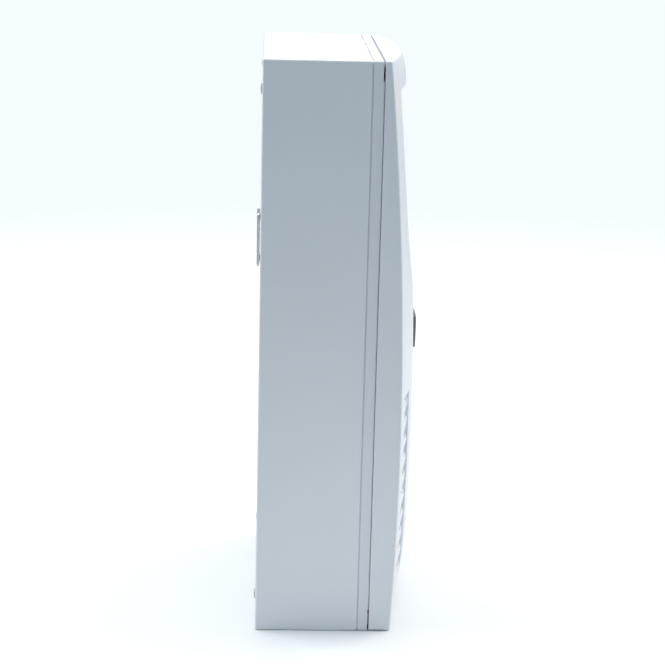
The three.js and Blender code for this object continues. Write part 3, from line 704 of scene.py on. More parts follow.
def soften_corner(x, z, corner_x, corner_z, way_z, radius):
    """Bends a square grid round a rounded corner, and lets go of it over the next radius."""
    u = (abs(x) - corner_x) / radius
    v = way_z * (z - corner_z) / radius
    reach = max(u, v)
    if min(u, v) <= 0 or reach >= 2:
        return x, z
    a, b = u / reach, v / reach
    round_u = reach * a * math.sqrt(1 - b * b / 2)
    round_v = reach * b * math.sqrt(1 - a * a / 2)
    hold = min(1.0, (2 - reach) / 0.75)
    u += hold * (round_u - u)
    v += hold * (round_v - v)
    return math.copysign(corner_x + u * radius, x), corner_z + way_z * v * radius


def cover_corners():
    """Every rounded corner in the cover's grid: middle x, middle z, side in z, radius."""
    half, low, high = in_mm("half_width"), in_mm("bottom"), in_mm("top")
    hole = KEY_HOLE["half"]
    found = []
    for radius, edge_x, edge_low, edge_high in (
        (COVER_CORNER, half, low, high),
        (SEAT["corner"], SEAT["x"], SEAT["low"], SEAT["high"]),
        (OPENING["corner"], OPENING["x"], OPENING["low"], OPENING["high"]),
        (KEY_HOLE["corner"], hole, KEY_Z - hole, KEY_Z + hole),
    ):
        found.append((edge_x - radius, edge_low + radius, -1, radius))
        found.append((edge_x - radius, edge_high - radius, 1, radius))
    return found


def sunk_by(x, z):
    """How far the outer skin lies under the cover's rule at a place: round edges and lens seat."""
    across = abs(x)
    head, foot, inner = in_mm("vent_top"), in_mm("vent_foot"), in_mm("vent_inner")
    half, ledge = in_mm("half_width"), in_mm("ledge")
    fade = in_mm("foot_drop") * max(0.0, 1 - z / in_mm("foot_length")) ** 2
    lift = (in_mm("crown") - fade) * (1 - (x / half) ** 2)  # the crown over the cover's side
    border = min(half - across, z - in_mm("bottom"), in_mm("top") - z)
    deep = drop(border, in_mm("rim_edge"))
    if across < SEAT["x"] and SEAT["low"] < z < SEAT["high"]:
        return deep + SEAT["deep"]
    off_seat = max(across - SEAT["x"], SEAT["low"] - z, z - SEAT["high"]) - STEP
    off_key = max(across, abs(z - KEY_Z)) - KEY_HOLE["half"]
    off_vent = max(inner - across, foot - z, z - head) - STEP
    deep = max(deep, drop(off_seat, SEAT["edge"]))
    if off_key >= 0:
        deep = max(deep, drop(off_key, KEY_HOLE["edge"]))
    if off_vent >= -STEP:
        wall = lift - in_mm("vent_valley" if foot < z < head else "vent_tip")
        deep = max(deep, drop(off_vent, min(VENT_EDGE, max(0.0, wall))))
    if z > ledge:
        deep = max(deep, drop(z - ledge - STEP, min(BROW_EDGE, max(0.0, lift - BROW_FOOT))))
    return deep


def open_cells(xs, zs):
    """Which cells of the cover's grid are air: display opening, key hole and air slots."""
    across = np.abs((np.array(xs[1:]) + np.array(xs[:-1])) / 2)[None, :]
    height = ((np.array(zs[1:]) + np.array(zs[:-1])) / 2)[:, None]
    air = (across < OPENING["x"]) & (height > OPENING["low"]) & (height < OPENING["high"])
    air |= (across < KEY_HOLE["half"]) & (np.abs(height - KEY_Z) < KEY_HOLE["half"])
    in_slot = (across > SLOT["inner"]) & (across < SLOT["outer"])
    for valley in louvre_valleys():
        air |= in_slot & (height < valley - SLOT["top"]) & (height > valley - SLOT["low"])
    return air


def pulled_in(value, edge, inside, wall):
    """The inner skin keeps its grid, drawn in from the edge to the inner face of the side wall."""
    reach = abs(edge - inside)
    over = reach - abs(edge - value)
    if over <= 0:
        return value
    return inside + math.copysign(over * (reach - wall) / reach, edge - inside)


def grid_place(x, z, inner):
    """Where a point of the cover's grid lies on the outer or the inner skin."""
    half, low, high = in_mm("half_width"), in_mm("bottom"), in_mm("top")
    place_x, place_z = x, z
    for corner in cover_corners():
        place_x, place_z = soften_corner(place_x, place_z, *corner)
    if inner:
        edge, inside = math.copysign(half, x), math.copysign(half - PULL, x)
        place_x = pulled_in(place_x, edge, inside, SIDE_WALL)
        place_z = pulled_in(place_z, low, low + PULL, SIDE_WALL)
        place_z = pulled_in(place_z, high, high - PULL, SIDE_WALL)
    return place_x, place_z


def cover_sheet():
    """The flat double sheet that the cover's rule bends, with its marks for each vertex."""
    xs, zs = cover_columns(), cover_rows()
    wide, tall = len(xs), len(zs)
    half, low, high = in_mm("half_width"), in_mm("bottom"), in_mm("top")
    points, inner_mark, rim_mark, sunk = [], [], [], []
    for inner in (0, 1):
        for z in zs:
            for x in xs:
                points.append(grid_place(x, z, inner))
                inner_mark.append(inner)
                rim_mark.append(0)
                sunk.append(0 if inner else sunk_by(x, z))

    def outer_at(i, j):
        return j * wide + i

    def inner_at(i, j):
        return (tall + j) * wide + i

    air = np.pad(open_cells(xs, zs), 1, constant_values=False)
    faces = []
    for j in range(tall - 1):
        for i in range(wide - 1):
            if air[j + 1, i + 1]:
                continue
            cell = ((i, j), (i + 1, j), (i + 1, j + 1), (i, j + 1))
            faces.append([outer_at(*corner) for corner in cell])
            faces.append([inner_at(*cell[k]) for k in (0, 3, 2, 1)])
            sides = (
                (air[j, i + 1], (i, j), (i + 1, j)),
                (air[j + 1, i + 2], (i + 1, j), (i + 1, j + 1)),
                (air[j + 2, i + 1], (i + 1, j + 1), (i, j + 1)),
                (air[j + 1, i], (i, j + 1), (i, j)),
            )
            for opened, a, b in sides:
                if opened:
                    faces.append([outer_at(*b), outer_at(*a), inner_at(*a), inner_at(*b)])

    around = [(i, 0) for i in range(wide - 1)]
    around += [(wide - 1, j) for j in range(tall - 1)]
    around += [(i, tall - 1) for i in range(wide - 1, 0, -1)]
    around += [(0, j) for j in range(tall - 1, 0, -1)]
    loops = [[outer_at(i, j) for i, j in around]]
    inset = 1 - RIM_CHAMFER / half
    centre_z = (low + high) / 2
    rims = ((1, RIM_CHAMFER, outer_at), (inset, 0, outer_at), (1, 0, inner_at))
    for scale, forward, source in rims:
        start = len(points)
        for i, j in around:
            x, z = points[source(i, j)]
            points.append((x * scale, centre_z + (z - centre_z) * scale))
            inner_mark.append(0)
            rim_mark.append(1)
            sunk.append(-forward)
        loops.append(list(range(start, len(points))))
    loops.append([inner_at(i, j) for i, j in around])
    count = len(around)
    for near, far in zip(loops, loops[1:]):
        for k in range(count):
            after = (k + 1) % count
            faces.append([near[k], near[after], far[after], far[k]])

    used = np.unique(np.array([v for face in faces for v in face]))
    renumber = np.full(len(points), -1)
    renumber[used] = np.arange(len(used))
    mesh = bpy.data.meshes.new("front_cover")
    mesh.from_pydata(
        [(points[v][0] * MM, 0, points[v][1] * MM) for v in used],
        [],
        [[int(renumber[v]) for v in face] for face in faces],
    )
    for name, values in (("inner", inner_mark), ("rim", rim_mark), ("sunk", np.array(sunk) * MM)):
        attribute = mesh.attributes.new(name, "FLOAT", "POINT")
        attribute.data.foreach_set("value", np.array(values, dtype=np.float32)[used])
    return link("front_cover", mesh)


# Blocks of one hook and one tab: two distances from the middle, two depths, low and high.
CATCH_BLOCKS = (
    (12, 19, 30.6, 33.2, 145.2, 148.4),
    (12, 19, 25.4, 31.0, 145.2, 146.8),
    (12, 19, 25.4, 26.6, 145.4, 147.5),
    (11, 19, 30.6, 34.0, 1.5, 3.75),
    (11, 19, 25.6, 31.0, 2.35, 3.75),
)


def cover_catches():
    """Hooks that hold the top of the cover and tabs that snap in at its foot."""
    bm = bmesh.new()
    for way in (-1, 1):
        for x0, x1, *rest in CATCH_BLOCKS:
            across = sorted((way * x0, way * x1))
            slab(bm, (*across, *rest), corner=0.15, rear=0.12, front=0.12, steps=2)
    return as_object("cover_catches", bm)


class THERMOSTAT_OT_front_cover(bpy.types.Operator):
    """Make the crowned cover with its display facet, key hole, louvres and catches"""

    bl_idname = "thermostat.front_cover"
    bl_label = "Front Cover"

    def execute(self, context):
        values = {label(name): getattr(sizes(), name) for name in COVER_RULE}
        values |= {"Box Rear": REAR, "Facet Slope": FACET_SLOPE, "Facet Curve": FACET_CURVE}
        values["Material"] = finish_of("Casing plastic")
        cover = run_tree(cover_sheet(), tree_named("Crowned cover", cover_tree), values)
        for name in ("inner", "rim", "sunk"):
            cover.data.attributes.remove(cover.data.attributes[name])
        face_out(cover)
        join_into(cover, cover_catches())
        complete(cover, "Casing plastic", ["front_cover"], "cover", angle=40)
        return {"FINISHED"}


# ---- Box and chassis frame -----------------------------------------------------------------------

BOX_WALL = 2.0
PAD_POCKET = {"radius": 1.7, "deep": 0.8}
KEYHOLE = {"entry": 97.5, "rest": 99.6, "head": 3.0, "neck": 1.3, "room": 0.3}
RIVET = {"shank": 0.9, "hole": 1.2, "head": 1.4}
FITTING_SEAT = 2.3  # depth of the face that rivets and cable ring clamp on
CABLE = {"z": 26.0, "radius": 8.0}
KNOCK_OUT = {"radius": 6.0, "groove": 0.5, "deep": 0.35, "x": 20}
BOSS = {"bore": 1.75, "mouth": 1.9, "radius": 3.5, "edge": 0.15, "bore_end": 14}
STAND_OFF = {"bore": 1.55, "radius": 3, "edge": 0.1, "under_board": 0.3}
BOSS_ROOT = 1  # depth inside the box's rear wall where bosses begin


def box_bosses():
    """Hollow screw bosses and board stand-offs inside the box."""
    bm = bmesh.new()
    bore, radius, edge = BOSS["bore"], BOSS["radius"], BOSS["edge"]
    front = spans("back_box")[3]
    boss = [(bore, BOSS_ROOT), (radius, BOSS_ROOT), (radius, front - edge), (radius - edge, front)]
    boss += [(BOSS["mouth"], front), (bore, BOSS["bore_end"])]
    bore, radius, edge = STAND_OFF["bore"], STAND_OFF["radius"], STAND_OFF["edge"]
    front = spans("power_board")[2] - STAND_OFF["under_board"]
    post = [(bore, BOSS_ROOT), (radius, BOSS_ROOT), (radius, front - edge), (radius - edge, front)]
    post.append((bore, front))
    for family, profile in (("chassis_screw", boss), ("power_board_screw", post)):
        for x, z in centres(numbered(family)):
            turned(bm, x, z, profile)
    return as_object("box_bosses", bm)


class THERMOSTAT_OT_back_box(bpy.types.Operator):
    """Make the surface box with its cavity, bosses, cable entry and rear pockets"""

    bl_idname = "thermostat.back_box"
    bl_label = "Back Box"

    def execute(self, context):
        x0, x1, d0, d1, z0, z1 = spans("back_box")
        edge, cut_edge = in_mm("shell_edge"), in_mm("cut_edge")
        bm = slab(bmesh.new(), (x0, x1, d0, d1, z0, z1), edge, edge, cut_edge)
        box = as_object("back_box", bm)
        wall = BOX_WALL
        cavity = (x0 + wall, x1 - wall, d0 + wall, d1 + 1, z0 + wall, z1 - wall)
        tools = [as_object("cavity", slab(bmesh.new(), cavity, 0.6, 0.6, 0))]
        bm = bmesh.new()
        for x, z in centres(numbered("rear_pad")):
            drill(bm, x, z, PAD_POCKET["radius"], -1, PAD_POCKET["deep"])
        for x, z in centres(numbered("hanger_rivet")):
            drill(bm, x, z, RIVET["hole"], -1, wall + 1)
        drill(bm, 0, CABLE["z"], CABLE["radius"], -1, wall + 1, 64)
        head = KEYHOLE["head"]
        half, low, high = head + KEYHOLE["room"], KEYHOLE["entry"] - head, KEYHOLE["rest"] + head
        slab(bm, (-half, half, -1, wall + 1, low, high), 0.4, 0, 0)
        tools.append(as_object("openings", bm))
        bm = bmesh.new()
        radius, deep = KNOCK_OUT["radius"], KNOCK_OUT["deep"]
        rim = radius + KNOCK_OUT["groove"]
        for x in (-KNOCK_OUT["x"], KNOCK_OUT["x"]):
            turned(bm, x, CABLE["z"], [(radius, -1), (rim, -1), (rim, deep), (radius, deep)], 56)
        tools.append(as_object("knock_outs", bm))
        carve(box, *tools)
        join_into(box, box_bosses())
        complete(box, "Casing plastic", ["back_box"])
        return {"FINISHED"}


GROOVE = {"inset": 0.35, "rear": 26.87, "front": 27.25, "wide": 1}
BEAD = {"inner": 33.5, "outer": 34.7, "rear": 29.45, "front": 29.92, "low": 6, "high": 145}


class THERMOSTAT_OT_chassis_frame(bpy.types.Operator):
    """Soften the chassis frame's edges and give it its finish"""

    bl_idname = "thermostat.chassis_frame"
    bl_label = "Chassis Frame"

    def execute(self, context):
        chassis = from_frame("chassis_frame", "chassis_frame", edge=in_mm("cut_edge") * 0.8)
        _, _, _, _, z0, z1 = spans("back_box")
        half = in_mm("half_width")
        inset, rear, front = GROOVE["inset"], GROOVE["rear"], GROOVE["front"]
        outer = (inset - half, half - inset, rear, front, z0 + inset, z1 - inset)
        inset += GROOVE["wide"]
        inner = (inset - half, half - inset, rear - 1, front + 1, z0 + inset, z1 - inset)
        filler = as_object("groove_step", slab(bmesh.new(), outer, 0.2, 0, 0))
        carve(filler, as_object("tool", slab(bmesh.new(), inner, 0.2, 0, 0)))
        join_into(chassis, filler)
        for x0, x1 in ((-BEAD["outer"], -BEAD["inner"]), (BEAD["inner"], BEAD["outer"])):
            bead = (x0, x1, BEAD["rear"], BEAD["front"], BEAD["low"], BEAD["high"])
            join_into(chassis, as_object("bead", slab(bmesh.new(), bead, 0.2, 0.05, 0.1)))
        complete(chassis, "Frame plastic", ["chassis_frame"])
        return {"FINISHED"}


# ---- Key -----------------------------------------------------------------------------------------

CAP = {"half": 4.5, "corner": 1.0, "edge": 0.45, "crown": 0.33, "flange": 6, "flange_front": 6.4}
# The dished front of the cap: inset from its side and fall under its highest point.
CAP_DOME = ((0.9, 0.24), (1.5, 0.16), (2.2, 0.09), (3.0, 0.04), (3.8, 0.01))
STEM = {"radius": 1.9, "edge": 0.2}
SWITCH = {"half": 3.0, "bore": 2.05, "bore_deep": 2.3, "plunger": 1.75, "stakes": (2.2, 0.9)}


class THERMOSTAT_OT_key(bpy.types.Operator):
    """Make the key cap, the switch behind it and the switch's plunger"""

    bl_idname = "thermostat.key"
    bl_label = "Key and Switch"

    def execute(self, context):
        _, _, rear, front, _, _ = spans("key")
        half, corner, flange = CAP["half"], CAP["corner"], CAP["flange"]
        flange_front = rear + CAP["flange_front"]
        shoulder = front - CAP["edge"] - CAP["crown"]
        bm = bmesh.new()
        rings = [(half, half, corner, flange_front - 0.5), (half, half, corner, shoulder)]
        for inset, run in reversed(quarter(CAP["edge"], 4)):
            rings.append((half - inset, half - inset, corner - inset * 0.7, shoulder + run))
        for inset, fall in CAP_DOME:
            radius = max(0.25, 0.7 - inset * 0.12)
            rings.append((half - inset, half - inset, radius, front - fall))
        stack(bm, 0, KEY_Z, rings)
        plate = (-flange, flange, flange_front - 1, flange_front, KEY_Z - flange, KEY_Z + flange)
        slab(bm, plate, 1)
        radius, end = STEM["radius"], flange_front - 0.6
        stem = [(0, rear), (radius - STEM["edge"], rear), (radius, rear + STEM["edge"])]
        turned(bm, 0, KEY_Z, [*stem, (radius, end), (0, end)])
        cap = as_object("key", bm)
        complete(cap, "Key plastic", ["key"], "key_cap")

        _, _, rear, front, low, high = spans("key_switch")
        half = SWITCH["half"]
        bm = slab(bmesh.new(), (-half, half, rear, front, low, high), 0.4, 0.1, 0.2)
        switch = as_object("key_switch", bm)
        floor = front - SWITCH["bore_deep"]
        bore = drill(bmesh.new(), 0, KEY_Z, SWITCH["bore"], floor, front + 1, 40)
        carve(switch, as_object("bore", bore))
        bm = bmesh.new()
        across, from_edge = SWITCH["stakes"]
        dome = [(0, front - 0.1), (0.45, front - 0.1), (0.4, front + 0.12), (0, front + 0.2)]
        for x in (-across, across):
            for z in (low + from_edge, high - from_edge):
                turned(bm, x, z, dome, 16)
        join_into(switch, as_object("heat_stakes", bm))
        complete(switch, "Component plastic", ["key_switch"])

        _, _, rear, front, _, _ = spans("switch_plunger")
        r = SWITCH["plunger"]
        profile = [(0, rear), (r, rear), (r, front - 0.3), (r - 0.12, front - 0.1)]
        profile += [(r - 0.35, front), (0, front)]
        plunger = as_object("switch_plunger", turned(bmesh.new(), 0, KEY_Z, profile))
        complete(plunger, "Component plastic", ["switch_plunger"], "plunger")
        return {"FINISHED"}


# ---- Display -------------------------------------------------------------------------------------

LENS = {"half_x": 24.9, "half_z": 14.25, "thick": 1.2, "corner": 0.7}
LENS_Z = (SEAT["low"] + SEAT["high"]) / 2
VIEW_WINDOW = {"half_x": 19.5, "half_z": 9.6, "corner": 1.2}
INK = {"inset": 0.25, "gap": 0.02, "thick": 0.06}
DIGIT = {"height": 11.0, "width": 6.0, "stroke": 1.15, "pitch": 8.6, "lean": 0.09, "gap": 0.5}
BAR_DEPTHS = (-0.02, 0.03)
# The seven bars of a digit: middle across and up in half sizes, and whether it lies level.
BARS = (
    (0, 1, True),
    (0, 0, True),
    (0, -1, True),
    (-1, 0.5, False),
    (1, 0.5, False),
    (-1, -0.5, False),
    (1, -0.5, False),
)


def on_facet(obj, depth):
    """Tilts a piece made about the origin on to the display facet."""
    tilt = Matrix.Rotation(-math.atan(FACET_SLOPE), 4, "X")
    obj.data.transform(Matrix.Translation((0, REAR - depth * MM, LENS_Z * MM)) @ tilt)
    return obj


def facet_depth(z):
    return in_mm("facet_depth") + FACET_SLOPE * (in_mm("facet_height") - z)


def bar_prototype(name, length_mm):
    """One display bar with pointed ends, level, a hair thick."""
    half, point = length_mm / 2, DIGIT["stroke"] / 2
    shape = [(-half, 0), (-half + point, point), (half - point, point), (half, 0)]
    shape += [(half - point, -point), (-half + point, -point)]
    rings = [[(x, depth, z) for x, z in shape] for depth in BAR_DEPTHS]
    return as_object(name, loft(bmesh.new(), rings), rear=0)


def digit_bars(front):
    """Places of the level and the upright bars of three digits on the display glass."""
    centre_z = middle("lcd_panel")[3]
    level, upright = [], []
    for digit in (-1, 0, 1):
        for across, up, is_level in BARS:
            z = centre_z + up * (DIGIT["height"] / 2)
            x = digit * DIGIT["pitch"] + across * DIGIT["width"] / 2
            x += DIGIT["lean"] * (z - centre_z)
            (level if is_level else upright).append((x, front, z))
    return level, upright


class THERMOSTAT_OT_display(bpy.types.Operator):
    """Make the lens with its printed border and the display behind it"""

    bl_idname = "thermostat.display"
    bl_label = "Display"

    def execute(self, context):
        hx, hz, corner = LENS["half_x"], LENS["half_z"], LENS["corner"]
        thick = LENS["thick"]
        facet = facet_depth(LENS_Z)
        bm = slab(bmesh.new(), (-hx, hx, -thick, 0, -hz, hz), corner, 0.08, 0.18)
        lens = on_facet(as_object("display_lens", bm, rear=0), facet)
        complete(lens, "Lens acrylic", ["display_lens"], "cover")

        front = -thick - INK["gap"]
        rear = front - INK["thick"]
        rim = (hx - INK["inset"], hz - INK["inset"], corner - 0.2)
        window = (VIEW_WINDOW["half_x"], VIEW_WINDOW["half_z"], VIEW_WINDOW["corner"])
        rings = []
        for shape, depth in ((rim, rear), (rim, front), (window, front), (window, rear)):
            rings.append([(x, depth, z) for x, z in outline(*shape)])
        border = loft(bmesh.new(), rings, ring_shaped=True)
        ink = on_facet(as_object("lens_print", border, rear=0), facet)
        complete(ink, "Printed ink", body="cover")

        x0, x1, rear, front, z0, z1 = spans("lcd_panel")
        bm = bmesh.new()
        slab(bm, (x0, x1, rear, rear + 0.98, z0, z1), 0.1, 0.05, 0.02, 2)
        slab(bm, (x0, x1, rear + 1.0, front - 0.16, z0 + 1.6, z1), 0.1, 0.02, 0.05, 2)
        slab(bm, (x0 + 1, x1 - 1, front - 0.15, front - 0.04, z0 + 2.6, z1 - 1), 0.3, 0.02, 0.02, 2)
        panel = as_object("lcd_panel", bm)
        complete(panel, "Display glass", ["lcd_panel"])

        level, upright = digit_bars(front - 0.03)
        flat = bar_prototype("bar", DIGIT["width"] - DIGIT["gap"])
        bars = copies("display_bars", flat, level, "Segment ink")
        standing = bar_prototype("bar", DIGIT["height"] / 2 - DIGIT["gap"])
        standing.data.transform(Matrix.Rotation(math.pi / 2 - DIGIT["lean"], 4, "Y"))
        join_into(bars, copies("upright_bars", standing, upright, "Segment ink"))
        complete(bars, "Segment ink")

        softened(["lcd_frame"], "White plastic", 0.2)
        softened(["light_guide"], "White plastic", 0.15)
        softened(numbered("zebra_strip"), "Rubber", 0.1)
        return {"FINISHED"}


# ---- Rear fittings -------------------------------------------------------------------------------

HANGER_CORNER = 1.1
PAD_RISE = 0.3
GROMMET = {"play": 0.3, "bore": 4.8, "edge": 0.25, "flange_edge": 0.4}


class THERMOSTAT_OT_rear_fittings(bpy.types.Operator):
    """Make the hanger plate, its rivets, the rear pads and the cable ring"""

    bl_idname = "thermostat.rear_fittings"
    bl_label = "Rear Fittings"

    def execute(self, context):
        x0, x1, d0, d1, z0, z1 = spans("hanger_plate")
        bm = slab(bmesh.new(), (x0, x1, d0, d1, z0, z1), HANGER_CORNER, 0.12, 0.08)
        plate = as_object("hanger_plate", bm)
        entry, rest, neck = KEYHOLE["entry"], KEYHOLE["rest"], KEYHOLE["neck"]
        round_end = drill(bmesh.new(), 0, entry, KEYHOLE["head"], d0 - 1, 0, 64)
        slot_end = drill(bmesh.new(), 0, rest, neck, d0 - 1, 0, 48)
        slot = slab(bmesh.new(), (-neck, neck, d0 - 1, 0, entry, rest), 0, 0, 0)
        tools = [as_object("tool", bm) for bm in (round_end, slot_end, slot)]
        bm = bmesh.new()
        for x, z in centres(numbered("hanger_rivet")):
            drill(bm, x, z, RIVET["hole"], d0 - 1, 0)
        carve(plate, *tools, as_object("tool", bm))
        complete(plate, "Plated steel", ["hanger_plate"])

        rivets = numbered("hanger_rivet")
        _, rear, front, _ = middle(rivets[0])
        shank, head, seat = RIVET["shank"], RIVET["head"], FITTING_SEAT
        profile = [(0, rear), (shank - 0.12, rear), (shank, rear + 0.12), (shank, seat)]
        profile += [(head, seat), (head - 0.03, front - 0.4), (head - 0.25, front - 0.12)]
        profile += [(head - 0.7, front), (0, front)]
        rivet = as_object("rivet", turned(bmesh.new(), 0, 0, profile), rear=0)
        places = [(x, 0, z) for x, z in centres(rivets)]
        repeat("hanger_rivets", rivet, places, "Plated steel", rivets, turn=3.0, seed=3)

        pads = numbered("rear_pad")
        x0, x1, rear, front, _, _ = spans(pads[0])
        r = (x1 - x0) / 2 - 0.005
        dome = [(0, rear)]
        for angle in np.linspace(math.pi / 2, 0, 7)[1:]:
            dome.append((r * math.cos(angle), rear + PAD_RISE * (1 - math.sin(angle))))
        dome += [(r, front), (0, front)]
        pad = as_object("pad", turned(bmesh.new(), 0, 0, dome), rear=0)
        places = [(x, 0, z) for x, z in centres(pads)]
        repeat("rear_pads", pad, places, "Rubber", pads, turn=3.0, seed=5)

        _, _, rear, front, z0, z1 = spans("cable_grommet")
        neck, flange, bore = CABLE["radius"] - GROMMET["play"], (z1 - z0) / 2, GROMMET["bore"]
        edge, brim = GROMMET["edge"], GROMMET["flange_edge"]
        profile = [(bore + 0.2, rear), (neck - edge, rear), (neck, rear + edge)]
        profile += [(neck, FITTING_SEAT), (flange, FITTING_SEAT)]
        profile += [(flange, front - brim), (flange - brim, front)]
        profile += [(bore + 1.2, front), (bore + 0.3, front - 0.3), (bore, front - 0.8)]
        profile.append((bore, rear + 0.2))
        ring = as_object("cable_grommet", turned(bmesh.new(), 0, CABLE["z"], profile, 64))
        complete(ring, "Rubber", ["cable_grommet"])
        return {"FINISHED"}


# ---- Fasteners -----------------------------------------------------------------------------------

THREAD = {"pitch": 0.6, "deep": 0.16, "start": 1.4, "plain": 0.8}
# Sets of pan-head screws: family, head height, shank radius, side they are driven from (1 is the
# front, -1 the rear) and seed.
SCREW_SETS = (
    ("chassis_screw", 1.7, 1.45, 1, 21),
    ("power_board_screw", 1.7, 1.25, 1, 22),
    ("display_board_screw", 1.5, 0.95, -1, 23),
)


def screw(head_radius, head_height, shank_radius, shank, way):
    """A pan-head screw about the origin with its seat at depth 0, driven from the front (way 1)."""
    pitch, deep, start = THREAD["pitch"], THREAD["deep"], THREAD["start"]
    profile = [(0, -shank), (shank_radius * 0.25, -shank + 0.1), (shank_radius * 0.8, -shank + 1.1)]
    for k in range(int((shank - start - THREAD["plain"]) / pitch)):
        along = -shank + start + k * pitch
        profile += [(shank_radius - deep, along), (shank_radius, along + pitch * 0.4)]
    profile += [(shank_radius - deep, -0.5), (shank_radius - 0.05, 0)]
    profile += [(head_radius, 0), (head_radius, head_height * 0.45)]
    for angle in (20, 45, 70):
        a = math.radians(angle)
        reach = head_radius * (0.62 + 0.38 * math.cos(a))
        profile.append((reach, head_height * (0.45 + 0.55 * math.sin(a))))
    profile += [(head_radius * 0.5, head_height), (0, head_height)]
    bm = turned(bmesh.new(), 0, 0, [(r, way * d) for r, d in profile], 28)
    body = as_object("screw", bm, rear=0)
    wide, narrow, deep = head_radius * 0.58, 0.28, head_height * 0.35
    tools = []
    for across, up in ((narrow, wide), (wide, narrow)):
        rings = [(across, up, 0.05, way * (head_height + 1))]
        rings.append((across * 0.7, up * 0.7, 0.05, way * deep))
        tools.append(as_object("recess", stack(bmesh.new(), 0, 0, rings, 2), rear=0))
    return carve(body, *tools)


def screw_set(family, head, shank_radius, way, seed):
    """One set of like screws at their CAD places."""
    nodes = numbered(family)
    x0, x1, rear, front, _, _ = spans(nodes[0])
    seat = front - head if way == 1 else rear + head
    tip = seat - rear if way == 1 else front - seat
    places = [(x, seat, z) for x, z in centres(nodes)]
    piece = screw((x1 - x0) / 2, head, shank_radius, tip, way)
    repeat(family + "s", piece, places, "Plated steel", nodes, turn=3.1, seed=seed)


def terminal_screw_set():
    """Slotted screws sunk in the terminal block."""
    nodes = numbered("terminal_screw")
    x0, x1, rear, front, _, _ = spans(nodes[0])
    r, tip, under_head = (x1 - x0) / 2, rear - front, -1.6
    profile = [(0, tip), (r * 0.7, tip), (r * 0.7, under_head), (r, under_head), (r, -0.12)]
    profile += [(r - 0.12, 0), (0, 0)]
    piece = as_object("screw", turned(bmesh.new(), 0, 0, profile, 28), rear=0)
    slot = slab(bmesh.new(), (-2, 2, -0.7, 1, -0.25, 0.25), 0.02, 0.02, 0, 1)
    carve(piece, as_object("slot", slot, rear=0))
    places = [(x, front, z) for x, z in centres(nodes)]
    repeat("terminal_screws", piece, places, "Plated steel", nodes, turn=3.1, seed=11)


class THERMOSTAT_OT_fasteners(bpy.types.Operator):
    """Make the frame, board and terminal screws"""

    bl_idname = "thermostat.fasteners"
    bl_label = "Screws"

    def execute(self, context):
        for settings in SCREW_SETS:
            screw_set(*settings)
        terminal_screw_set()
        return {"FINISHED"}


# ---- Boards --------------------------------------------------------------------------------------

# Rows of small parts on the boards: x and z of the first one's middle in mm, and how many.
POWER_CHIPS = ((-24, 86, 3), (17, 90, 3), (15, 121, 3))
DISPLAY_CHIPS = ((8, 101, 4), (8, 106, 4), (-22, 92, 3), (-22, 74, 5))
CHIP_PITCH = 4
# Chip resistors, transformer core, capacitor, fuse tube and wire, plug pins and controller legs.
CHIP = {"half_x": 0.75, "half_z": 0.6, "tall": 0.6, "end": (0.72, 1.15), "over": 0.03}
CORE = {"plates": 24, "thick": 0.5, "inset": 6.2, "gap": 0.06, "rear": 1.15}
CAN = {"play": 0.02, "groove": 0.45, "rim": 0.5}
TUBE = {"inset": 0.8, "wall": (0.25, 0.75)}
WIRE = {"radius": 0.1, "inset": 0.6}
PLUG = {"pin_half": 0.3, "reach": 0.5, "rows": (-0.6, 0.6), "pins": 8, "pitch": 2.4}
LEG = {"half": 0.14, "long": 0.75, "count": 8, "inset": 1.5, "out": 0.5, "under": 0.52}


def chip_set(name, rows, depth, way):
    """Chip resistors: a dark body with a soldered end on each side, standing on a board face."""
    placed = [(x + k * CHIP_PITCH, depth, z) for x, z, count in rows for k in range(count)]
    half_x, half_z, tall, over = CHIP["half_x"], CHIP["half_z"], CHIP["tall"], CHIP["over"]
    near, far = sorted((0, way * tall))
    body = slab(bmesh.new(), (-half_x, half_x, near, far, -half_z, half_z), 0.05, 0.05, 0.05, 1)
    repeat(name + "_bodies", as_object("chip", body, rear=0), placed, "Component plastic")
    ends = bmesh.new()
    near, far = sorted((0, way * (tall + over)))
    for side in (-1, 1):
        across = sorted(side * reach for reach in CHIP["end"])
        slab(ends, (*across, near, far, -half_z - over, half_z + over), 0.12, 0.1, 0.1, 2)
    repeat(name + "_ends", as_object("ends", ends, rear=0), placed, "Soldered tin")


def transformer_parts():
    """Iron core plates round a taped winding on a moulded bobbin."""
    x0, x1, d0, d1, z0, z1 = spans("transformer")
    bm = slab(bmesh.new(), (x0, x1, d0, d0 + 2.0, z0 + 2.6, z1 - 2.6), 0.8, 0.2, 0.3)
    for left in (x0 + 0.4, x1 - 2.4):
        slab(bm, (left, left + 2, d0 + 1.5, d1 - 2.6, z0 + 3, z1 - 3), 0.6, 0.2, 0.4)
    bobbin = as_object("transformer_bobbin", bm)
    complete(bobbin, "Component plastic", ["transformer"])
    winding = (x0 + 2.5, x1 - 2.5, d0 + 2.1, d1 - 3.0, z0 + 3.4, z1 - 3.4)
    bm = slab(bmesh.new(), winding, 2.2, 1.2, 1.2, 4)
    complete(as_object("transformer_winding", bm), "Winding tape")
    count, first, last = CORE["plates"], x0 + CORE["inset"], x1 - CORE["inset"]
    pitch = (last - first - CORE["thick"]) / (count - 1)
    bm = slab(bmesh.new(), (0, pitch - CORE["gap"], 0, d1 - d0 - 1.2, z0, z1), 0.3, 0.12, 0.12, 1)
    plate = as_object("plate", bm, rear=0)
    places = [(first + k * pitch, d0 + CORE["rear"], 0) for k in range(count)]
    repeat("transformer_core", plate, places, "Core iron")


